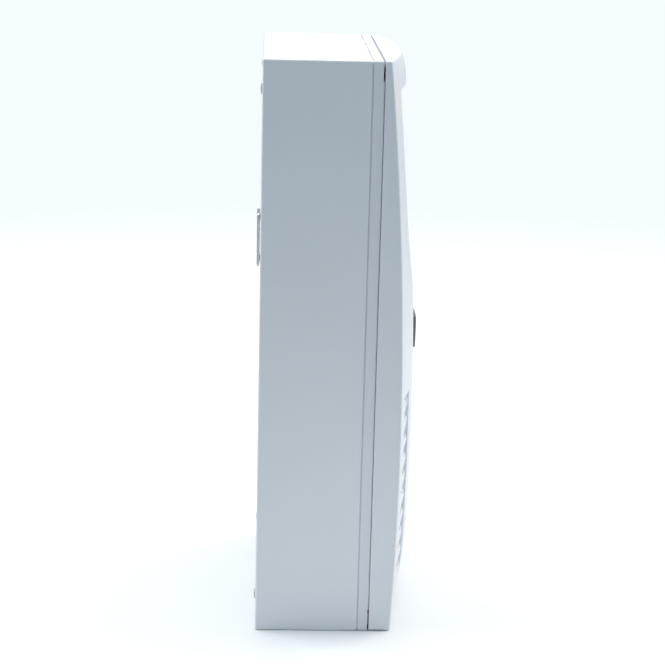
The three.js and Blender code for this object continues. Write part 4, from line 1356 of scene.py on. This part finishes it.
def capacitor_parts():
    """Sleeved can with a rolled groove near its foot and a lid sunk inside its rim."""
    x0, x1, d0, d1, z0, z1 = spans("capacitor")
    r, rim = (x1 - x0) / 2 - CAN["play"], CAN["rim"]
    profile = [(0, d0), (r, d0), (r, d0 + 1), (r - CAN["groove"], d0 + 1.5), (r, d0 + 2)]
    profile += [(r, d1 - rim), (r - 0.15, d1 - 0.15), (r - rim, d1), (r - 0.9, d1)]
    profile += [(r - 1.1, d1 - 0.12), (0, d1 - 0.12)]
    can = as_object("capacitor", turned(bmesh.new(), (x0 + x1) / 2, (z0 + z1) / 2, profile, 48))
    complete(can, "Capacitor sleeve", ["capacitor"])


def fuse_parts():
    """Glass tube with metal end caps and the fine wire between them."""
    x0, x1, d0, d1, z0, z1 = spans("fuse")
    depth, z, r = (d0 + d1) / 2, (z0 + z1) / 2, (z1 - z0) / 2 - 0.01
    outer, inner = (r - under for under in TUBE["wall"])
    left, right = x0 + TUBE["inset"], x1 - TUBE["inset"]
    tube = [(outer, left), (outer, right), (inner, right), (inner, left)]
    bm = turned(bmesh.new(), depth, z, tube, axis="across")
    complete(as_object("fuse", bm), "Clear glass", ["fuse"])
    bm = bmesh.new()
    cap = [(0, 0), (r - 0.3, 0), (r, 0.3), (r, 4.8), (r - 0.1, 5), (r - 0.22, 5)]
    cap += [(r - 0.22, 0.7), (0, 0.7)]
    for end, way in ((x0, 1), (x1, -1)):
        turned(bm, depth, z, [(radius, end + way * along) for radius, along in cap], axis="across")
    thin, left, right = WIRE["radius"], x0 + WIRE["inset"], x1 - WIRE["inset"]
    turned(bm, depth, z, [(0, left), (thin, left), (thin, right), (0, right)], 8, axis="across")
    complete(as_object("fuse_caps", bm), "Plated steel")


def plug_pins():
    """Square pins of the connector between the boards."""
    x, rear, _, z = middle("board_plug")
    reach, rows, count, pitch = PLUG["reach"], PLUG["rows"], PLUG["pins"], PLUG["pitch"]
    square = (-PLUG["pin_half"], PLUG["pin_half"])
    pin = slab(bmesh.new(), (*square, 0, 2 * reach, *square), 0.08, 0.1, 0.1, 1)
    places = []
    for row in rows:
        for k in range(count):
            places.append((x + (k - (count - 1) / 2) * pitch, rear - reach, z + row))
    repeat("link_pins", as_object("pin", pin, rear=0), places, "Soldered tin")


def controller_legs(depth):
    """The controller's legs, in a row over its upper and its lower side."""
    x0, x1, _, _, z0, z1 = spans("microcontroller")
    half, long, count, out = LEG["half"], LEG["long"], LEG["count"], LEG["out"]
    leg = slab(bmesh.new(), (-half, half, 0, 0.5, -long, long), 0.04, 0.08, 0.08, 1)
    places = []
    for k in range(count):
        x = x0 + LEG["inset"] + k * (x1 - x0 - 2 * LEG["inset"]) / (count - 1)
        places += [(x, depth, z0 - out), (x, depth, z1 + out)]
    repeat("controller_legs", as_object("leg", leg, rear=0), places, "Soldered tin")


class THERMOSTAT_OT_power_board(bpy.types.Operator):
    """Make the power board with its terminals, relays, transformer, capacitor and fuse"""

    bl_idname = "thermostat.power_board"
    bl_label = "Power Board"

    def execute(self, context):
        front = spans("power_board")[3]
        softened(["power_board"], "Board laminate", 0.08)
        softened(["terminal_block"], "Terminal plastic", 0.25)
        softened(numbered("relay") + ["varistor"], "Relay plastic", 0.3)
        softened(["fuse_holder"], "Plated steel", 0.12)
        softened(["board_socket"], "Component plastic", 0.12)
        transformer_parts()
        capacitor_parts()
        fuse_parts()
        chip_set("power_chips", POWER_CHIPS, front, 1)
        return {"FINISHED"}


class THERMOSTAT_OT_display_board(bpy.types.Operator):
    """Make the display board with its controller, small parts, plug and temperature sensor"""

    bl_idname = "thermostat.display_board"
    bl_label = "Display Board"

    def execute(self, context):
        rear = spans("display_board")[2]
        softened(["display_board"], "Board laminate", 0.08)
        softened(["board_plug", "microcontroller"], "Component plastic", 0.12)
        chip_set("display_chips", DISPLAY_CHIPS, rear, -1)
        plug_pins()
        controller_legs(rear - LEG["under"])
        softened(["temperature_sensor"], "Sensor glass", 0.02, angle=60)
        return {"FINISHED"}


# ---- Shared surface effects ----------------------------------------------------------------------


def effect(name, inputs, outputs):
    """A new shader group of floats, with its inputs as numbers and its output node."""
    floats = [[(title, FLOAT) for title in titles] for titles in (inputs, outputs)]
    tree, given = new_tree(name, "ShaderNodeTree", *floats)
    numbers = [Number(tree, given.outputs[title]) for title in inputs]
    return tree, numbers, tree.nodes.new("NodeGroupOutput")


def object_place(tree):
    return add_node(tree, "ShaderNodeTexCoord").outputs["Object"]


def noise(tree, vector, scale, detail=2.0, roughness=0.5, **inputs):
    values = {"Vector": vector, "Scale": scale, "Detail": detail, "Roughness": roughness}
    node = add_node(tree, "ShaderNodeTexNoise", values | inputs)
    return Number(tree, node.outputs["Fac"])


def edge_wear():
    """Mask of rubbed edges: where a rounded normal leaves the true one, broken up by noise."""
    tree, (reach, amount), end = effect("Edge wear", ("Reach", "Amount"), ("Mask",))
    rounded = add_node(tree, "ShaderNodeBevel", {"Radius": reach}, samples=4)
    true = add_node(tree, "ShaderNodeNewGeometry")
    normals = {0: rounded.outputs[0], 1: true.outputs["Normal"]}
    match = add_node(tree, "ShaderNodeVectorMath", normals, operation="DOT_PRODUCT")
    turn = (1.0 - Number(tree, match.outputs["Value"])) * 5.0
    broken = noise(tree, object_place(tree), 420.0, 4.0, 0.6).ramp(0.38, 0.66)
    mask = (turn * (broken * 0.7 + 0.3) * amount).use("MINIMUM", 1.0, clamp=True)
    feed(tree, mask, end.inputs["Mask"])
    return tree


def moulded_grain():
    """Height of a spark-eroded mould face, and the slow unevenness of its sheen."""
    tree, (fineness,), end = effect("Moulded grain", ("Fineness",), ("Height", "Unevenness"))
    place = object_place(tree)
    pits = add_node(tree, "ShaderNodeTexVoronoi", {"Vector": place, "Scale": fineness * 1.6})
    fine = noise(tree, place, fineness, 3.0, 0.6)
    height = fine * 0.65 + Number(tree, pits.outputs["Distance"]) * 0.35
    feed(tree, height, end.inputs["Height"])
    feed(tree, noise(tree, place, 38.0, 4.0, 0.55) - 0.5, end.inputs["Unevenness"])
    return tree


def settled_dust():
    """Mask of fine dust on faces that look up."""
    tree, (amount,), end = effect("Settled dust", ("Amount",), ("Mask",))
    normal = add_node(tree, "ShaderNodeNewGeometry").outputs["Normal"]
    up = Number(tree, add_node(tree, "ShaderNodeSeparateXYZ", {"Vector": normal}).outputs["Z"])
    specks = noise(tree, object_place(tree), 900.0, 3.0, 0.7).ramp(0.42, 0.75)
    feed(tree, up.ramp(0.45, 0.95) * specks * amount, end.inputs["Mask"])
    return tree


def scuffs():
    """Mask of a few short pale rubs, longer than they are high."""
    tree, (amount,), end = effect("Scuffs", ("Amount",), ("Mask",))
    place = object_place(tree)
    drawn = add_node(tree, "ShaderNodeMapping", {"Vector": place, "Scale": (1.0, 0.35, 1.0)})
    lines = noise(tree, drawn.outputs[0], 260.0, 5.0, 0.65).ramp(0.62, 0.72)
    where = noise(tree, place, 26.0, 1.0).ramp(0.6, 0.7)
    feed(tree, lines * where * amount, end.inputs["Mask"])
    return tree


EFFECTS = {
    "Edge wear": edge_wear,
    "Moulded grain": moulded_grain,
    "Settled dust": settled_dust,
    "Scuffs": scuffs,
}


class Finish:
    """A material under construction: one Principled shader and what feeds it."""

    def __init__(self, name, **constants):
        self.material = bpy.data.materials.new(name)
        self.material.use_nodes = True
        self.tree = self.material.node_tree
        self.shader = self.tree.nodes["Principled BSDF"]
        for title, value in constants.items():
            self.shader.inputs[title.replace("_", " ")].default_value = value

    def effect(self, name, **values):
        group = self.tree.nodes.new("ShaderNodeGroup")
        group.node_tree = tree_named(name, EFFECTS[name])
        for title, value in values.items():
            group.inputs[title.title()].default_value = value
        numbers = [Number(self.tree, socket) for socket in group.outputs]
        return numbers if len(numbers) > 1 else numbers[0]

    def noise(self, scale, detail=2.0, roughness=0.5, **inputs):
        return noise(self.tree, object_place(self.tree), scale, detail, roughness, **inputs)

    def mix(self, factor, below, above):
        """One colour over another by a mask."""
        node = add_node(self.tree, "ShaderNodeMix", data_type="RGBA")
        for place, value in ((0, factor), (6, below), (7, above)):
            feed(self.tree, value, node.inputs[place])
        return node.outputs[2]

    def feed(self, name, value):
        feed(self.tree, value, self.shader.inputs[name])

    def bump(self, height, distance, strength=1.0):
        values = {"Height": height, "Distance": distance, "Strength": strength}
        node = add_node(self.tree, "ShaderNodeBump", values)
        self.feed("Normal", node.outputs[0])


def shade(tint, factor):
    return (*(min(1.0, value * factor) for value in tint[:3]), 1.0)


# Colours of what settles on or shows through a finish.
PLASTIC_DUST = (0.62, 0.61, 0.58, 1.0)
METAL_DUST = (0.4, 0.39, 0.37, 1.0)
BARE_LAMINATE = (0.35, 0.38, 0.2, 1.0)


def moulded(
    name, tint, roughness, grain=1500, deep=0.012, wear=0.4, dust=0.25, rubs=0.5, pale=1.25, **more
):
    """A moulded plastic: grained, slightly uneven in tone, paler where it is rubbed."""
    finish = Finish(name, **more)
    height, uneven = finish.effect("Moulded grain", fineness=grain)
    worn = finish.effect("Edge wear", reach=0.35 * MM, amount=wear)
    rubbed = finish.effect("Scuffs", amount=rubs)
    powder = finish.effect("Settled dust", amount=dust)
    tone = finish.noise(14.0, 3.0, 0.5).ramp(0.3, 0.7)
    base = finish.mix(tone, shade(tint, 0.975), shade(tint, 1.015))
    base = finish.mix(worn, base, shade(tint, pale))
    base = finish.mix(rubbed, base, shade(tint, (pale + 1) / 2))
    base = finish.mix(powder, base, PLASTIC_DUST)
    finish.feed("Base Color", base)
    finish.feed("Roughness", uneven * 0.16 + roughness - worn * 0.12 - rubbed * 0.1 + powder * 0.2)
    finish.bump(height, deep * MM)
    return finish.material


def metal(name, tint, roughness, brushed=1.0, spangle=0.5):
    """Plated sheet or wire: fine drawn lines, brighter and duller patches, rubbed edges."""
    finish = Finish(name, Metallic=1.0)
    place = object_place(finish.tree)
    drawn = add_node(finish.tree, "ShaderNodeMapping", {"Vector": place, "Scale": (1.0, 1.0, 0.06)})
    lines = noise(finish.tree, drawn.outputs[0], 2600.0, 3.0, 0.6)
    cells = add_node(finish.tree, "ShaderNodeTexVoronoi", {"Vector": place, "Scale": 340.0})
    patch = Number(finish.tree, cells.outputs["Distance"])
    worn = finish.effect("Edge wear", reach=0.2 * MM, amount=0.8)
    powder = finish.effect("Settled dust", amount=0.3)
    base = finish.mix(patch * spangle, shade(tint, 1.05), shade(tint, 0.8))
    base = finish.mix(worn, base, shade(tint, 1.4))
    base = finish.mix(powder, base, METAL_DUST)
    finish.feed("Base Color", base)
    finish.feed("Roughness", lines * 0.14 * brushed + roughness + patch * 0.12 - worn * 0.1)
    finish.bump(lines, 0.004 * MM, brushed)
    return finish.material


def board_laminate(name):
    """Solder mask over tracks that run square across the board, with tinned pads between them."""
    finish = Finish(name, Coat_Weight=0.35, Coat_Roughness=0.15)
    place = object_place(finish.tree)
    flat = add_node(finish.tree, "ShaderNodeMapping", {"Vector": place, "Scale": (1.0, 0.0, 1.0)})
    squares = {"Vector": flat.outputs[0], "Scale": 300.0, "Randomness": 0.55}
    cells = add_node(finish.tree, "ShaderNodeTexVoronoi", squares, distance="CHEBYCHEV")
    far = Number(finish.tree, cells.outputs["Distance"])
    tracks = far.ramp(0.30, 0.33) * (1.0 - far.ramp(0.42, 0.45))
    pads = 1.0 - far.ramp(0.07, 0.09)
    weave = finish.noise(1400.0, 2.0)
    worn = finish.effect("Edge wear", reach=0.3 * MM, amount=0.6)
    tint = paint("laminate")
    base = finish.mix(weave, shade(tint, 0.85), shade(tint, 1.15))
    base = finish.mix(tracks, base, paint("copper"))
    base = finish.mix(pads, base, paint("tin"))
    base = finish.mix(worn, base, BARE_LAMINATE)
    finish.feed("Base Color", base)
    finish.feed("Roughness", weave * 0.1 + 0.35 + worn * 0.2)
    finish.feed("Metallic", pads)
    finish.bump(tracks * 0.7 + pads * 0.3, 0.035 * MM)
    return finish.material


def winding_tape(name):
    """Overlapping turns of yellow film round the winding."""
    finish = Finish(name, Coat_Weight=0.4, Coat_Roughness=0.2)
    place = object_place(finish.tree)
    split = add_node(finish.tree, "ShaderNodeSeparateXYZ", {"Vector": place})
    lap = (Number(finish.tree, split.outputs["X"]) * 210.0).use("FRACT")
    tint = paint("tape")
    worn = finish.effect("Edge wear", reach=0.4 * MM, amount=0.5)
    base = finish.mix(lap.ramp(0.0, 0.3), shade(tint, 0.8), shade(tint, 1.0))
    finish.feed("Base Color", finish.mix(worn, base, shade(tint, 1.3)))
    finish.feed("Roughness", finish.noise(300.0) * 0.2 + 0.25)
    finish.bump(lap, 0.03 * MM)
    return finish.material


def clear(name, tint, roughness, ior, wave=0.004):
    """Clear glass or acrylic with faint smears and a slight moulded waviness."""
    finish = Finish(name, Transmission_Weight=1.0, IOR=ior, Metallic=0.0)
    smears = finish.noise(90.0, 5.0, 0.6, Distortion=0.4).ramp(0.5, 0.8)
    rubbed = finish.effect("Scuffs", amount=0.6)
    worn = finish.effect("Edge wear", reach=0.2 * MM, amount=0.5)
    finish.feed("Base Color", finish.mix(worn, tint, shade(tint, 0.85)))
    finish.feed("Roughness", smears * 0.08 + rubbed * 0.12 + roughness)
    finish.bump(finish.noise(60.0, 1.0), wave * MM)
    return finish.material


def display_glass(name):
    """Polarised display glass: a grey-green field over its rear reflector, finely and slowly
    mottled.
    """
    finish = Finish(name, Coat_Weight=0.7, Coat_Roughness=0.08)
    fine = finish.noise(2200.0, 2.0)
    slow = finish.noise(30.0, 2.0)
    worn = finish.effect("Edge wear", reach=0.2 * MM, amount=0.4)
    tint = paint("glass")
    base = finish.mix(fine * 0.6 + slow * 0.4, shade(tint, 0.9), shade(tint, 1.08))
    finish.feed("Base Color", finish.mix(worn, base, shade(tint, 1.4)))
    finish.feed("Roughness", fine * 0.1 + 0.28)
    finish.bump(fine, 0.004 * MM)
    return finish.material


# Moulded plastics and inks: colour, roughness and the settings that differ from the usual ones.
MOULDED = {
    "Casing plastic": ("shell", 0.47, {"wear": 0.3, "dust": 0.08, "rubs": 0.55, "pale": 1.08}),
    "Frame plastic": ("frame", 0.5, {"wear": 0.3, "dust": 0.2, "pale": 1.08}),
    "Key plastic": ("key", 0.42, {"grain": 1900, "wear": 0.7, "dust": 0.2, "pale": 2.2}),
    "Component plastic": ("black", 0.45, {"grain": 1200, "wear": 0.6, "dust": 0.3, "pale": 3}),
    "Relay plastic": ("relay", 0.35, {"wear": 0.5, "pale": 1.9}),
    "Terminal plastic": ("terminal", 0.4, {"wear": 0.5, "pale": 1.7}),
    "White plastic": ("white", 0.45, {"wear": 0.3, "pale": 1.1}),
    "Rubber": ("rubber", 0.78, {"grain": 800, "deep": 0.03, "wear": 0.3, "dust": 0.6, "pale": 1.3}),
    "Printed ink": ("print", 0.3, {"grain": 2600, "deep": 0.004, "wear": 0.1, "pale": 2}),
    "Segment ink": (
        "segment", 0.35, {"grain": 2400, "deep": 0.002, "wear": 0, "dust": 0, "rubs": 0}
    ),
    "Capacitor sleeve": (
        "sleeve", 0.28, {"grain": 500, "deep": 0.02, "wear": 0.4, "pale": 2.5}
    ),
    "Sensor glass": (
        "sensor", 0.12, {"grain": 600, "deep": 0.01, "dust": 0.3, "pale": 2, "Coat_Weight": 0.6}
    ),
}
# Plated and bare metals: colour, roughness, settings.
METALS = {
    "Plated steel": ("steel", 0.3, {}),
    "Soldered tin": ("tin", 0.24, {"brushed": 0.3}),
    "Core iron": ("iron", 0.5, {"spangle": 0.9}),
}
# Clear pieces: colour, roughness, refractive index.
CLEARS = {"Lens acrylic": ("lens", 0.03, 1.49), "Clear glass": ("tube", 0.01, 1.5)}
OTHERS = {
    "Board laminate": board_laminate,
    "Winding tape": winding_tape,
    "Display glass": display_glass,
}


def finish_of(name):
    """The material of that name, made at its first use."""
    material = bpy.data.materials.get(name)
    if material:
        return material
    if name in OTHERS:
        return OTHERS[name](name)
    if name in CLEARS:
        tint, roughness, index = CLEARS[name]
        return clear(name, paint(tint), roughness, index)
    make, table = (metal, METALS) if name in METALS else (moulded, MOULDED)
    tint, roughness, settings = table[name]
    return make(name, paint(tint), roughness, **settings)


# ---- Stage ---------------------------------------------------------------------------------------

# Camera: place in millimetres, turn to the right, downwards and about its own axis in radians.
CAMERA_PLACE = (-472.447, 18.749, 197.013)
CAMERA_YAW, CAMERA_PITCH, CAMERA_ROLL = 0.0378870, 0.2578500, 0.0248967
CAMERA_LENS = 96.98
CAMERA_CLIP = (0.02, 20)
FLOOR_RADIUS = 0.62
FLOOR_FADE = (0.30, FLOOR_RADIUS * 0.98)  # from where the floor starts to fade to where it is gone
# Area lights: place and target in metres, edge length in metres, power in watts, colour.
LIGHTS = {
    "Overhead": ((0.10, -0.05, 1.10), (0.0, 0.0, 0.1), 1.0, 12.9, (1.0, 0.935, 0.895)),
    "Front": ((0.35, -0.95, 0.55), (0.0, 0.0, 0.08), 0.8, 7.2, (1.0, 0.965, 0.90)),
    "Rear": ((0.25, 0.95, 0.60), (0.0, 0.0, 0.08), 0.8, 8.0, (0.99, 1.0, 0.98)),
    "Foot": ((-0.08, 0.0, 0.004), (-0.035, 0.0, 0.006), 0.05, 0.0025, (0.96, 0.98, 1.0)),
}
SKY_SEEN = (0.905, 0.974, 0.995)
SKY_LIGHT = ((0.465, 0.80, 1.0), 0.245)


def floor_material():
    """Pale paper that fades out to the backdrop round its rim."""
    finish = Finish("Floor paper", Roughness=0.9)
    fibres = finish.noise(160.0, 4.0, 0.6)
    tint = paint("floor")
    finish.feed("Base Color", finish.mix(fibres, shade(tint, 0.995), shade(tint, 1.005)))
    finish.bump(fibres, 0.02 * MM)
    place = object_place(finish.tree)
    away = add_node(finish.tree, "ShaderNodeVectorMath", {0: place}, operation="LENGTH")
    faded = Number(finish.tree, away.outputs["Value"]).ramp(*FLOOR_FADE)
    gone = add_node(finish.tree, "ShaderNodeBsdfTransparent")
    mixed = {0: faded, 1: finish.shader.outputs[0], 2: gone.outputs[0]}
    both = add_node(finish.tree, "ShaderNodeMixShader", mixed)
    output = finish.tree.nodes["Material Output"]
    finish.tree.links.new(both.outputs[0], output.inputs["Surface"])
    return finish.material


def make_world():
    world = bpy.data.worlds.new("Studio")
    world.use_nodes = True
    tree = world.node_tree
    tree.nodes.clear()
    tint, strength = SKY_LIGHT
    lighting = add_node(tree, "ShaderNodeBackground", {"Color": (*tint, 1.0), "Strength": strength})
    seen = add_node(tree, "ShaderNodeBackground", {"Color": (*SKY_SEEN, 1.0), "Strength": 1.0})
    path = add_node(tree, "ShaderNodeLightPath")
    mixed = {0: path.outputs["Is Camera Ray"], 1: lighting.outputs[0], 2: seen.outputs[0]}
    both = add_node(tree, "ShaderNodeMixShader", mixed)
    add_node(tree, "ShaderNodeOutputWorld", {"Surface": both.outputs[0]})
    bpy.context.scene.world = world


def make_camera():
    level_reach = math.cos(CAMERA_PITCH)
    across, away = math.cos(CAMERA_YAW), -math.sin(CAMERA_YAW)
    forward = Vector((level_reach * across, level_reach * away, -math.sin(CAMERA_PITCH)))
    level = forward.cross(Vector((0, 0, 1))).normalized()
    upright = level.cross(forward)
    right = level * math.cos(CAMERA_ROLL) + upright * math.sin(CAMERA_ROLL)
    up = upright * math.cos(CAMERA_ROLL) - level * math.sin(CAMERA_ROLL)
    data = bpy.data.cameras.new("Camera")
    data.lens = CAMERA_LENS
    data.clip_start, data.clip_end = CAMERA_CLIP
    camera = link("Camera", data)
    turn = Matrix((right, up, -forward)).transposed().to_4x4()
    camera.matrix_world = Matrix.Translation(Vector(CAMERA_PLACE) * MM) @ turn
    bpy.context.scene.camera = camera


def make_lights():
    for name, (place, target, edge, power, tint) in LIGHTS.items():
        data = bpy.data.lights.new(name, "AREA")
        data.shape = "SQUARE"
        data.size = edge
        data.energy = power
        data.color = tint
        light = link(name, data)
        light.location = place
        light.rotation_euler = (Vector(target) - Vector(place)).to_track_quat("-Z", "Y").to_euler()


class THERMOSTAT_OT_stage(bpy.types.Operator):
    """Make the pale floor, the soft lights and the camera"""

    bl_idname = "thermostat.stage"
    bl_label = "Floor, Light and Camera"

    def execute(self, context):
        bm = bmesh.new()
        bmesh.ops.create_circle(bm, cap_ends=True, segments=96, radius=FLOOR_RADIUS)
        mesh = bpy.data.meshes.new("Floor")
        bm.to_mesh(mesh)
        bm.free()
        mesh.materials.append(floor_material())
        link("Floor", mesh)
        make_world()
        make_lights()
        make_camera()
        context.scene.view_settings.view_transform = "Standard"
        return {"FINISHED"}


# ---- Panel and registration ----------------------------------------------------------------------

OPERATORS = (
    THERMOSTAT_OT_stage,
    THERMOSTAT_OT_front_cover,
    THERMOSTAT_OT_back_box,
    THERMOSTAT_OT_chassis_frame,
    THERMOSTAT_OT_key,
    THERMOSTAT_OT_display,
    THERMOSTAT_OT_rear_fittings,
    THERMOSTAT_OT_fasteners,
    THERMOSTAT_OT_power_board,
    THERMOSTAT_OT_display_board,
)


class THERMOSTAT_PT_pieces(bpy.types.Panel):
    """Lists the operators and the sizes and colours that they use"""

    bl_idname = "THERMOSTAT_PT_pieces"
    bl_label = "Thermostat"
    bl_space_type = "VIEW_3D"
    bl_region_type = "UI"
    bl_category = "Thermostat"

    def draw(self, context):
        for operator in OPERATORS:
            self.layout.operator(operator.bl_idname)
        for group in (context.scene.thermostat_sizes, context.scene.thermostat_colours):
            box = self.layout.box()
            for name in group.__annotations__:
                box.prop(group, name)


CLASSES = (ThermostatSizes, ThermostatColours, *OPERATORS, THERMOSTAT_PT_pieces)


def register():
    for entry in CLASSES:
        bpy.utils.register_class(entry)
    bpy.types.Scene.thermostat_sizes = bpy.props.PointerProperty(type=ThermostatSizes)
    bpy.types.Scene.thermostat_colours = bpy.props.PointerProperty(type=ThermostatColours)


def unregister():
    del bpy.types.Scene.thermostat_colours
    del bpy.types.Scene.thermostat_sizes
    for entry in reversed(CLASSES):
        bpy.utils.unregister_class(entry)


def main():
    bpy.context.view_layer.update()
    register()
    for operator in OPERATORS:
        module, _, name = operator.bl_idname.partition(".")
        getattr(getattr(bpy.ops, module), name)()


if __name__ == "__main__":
    main()
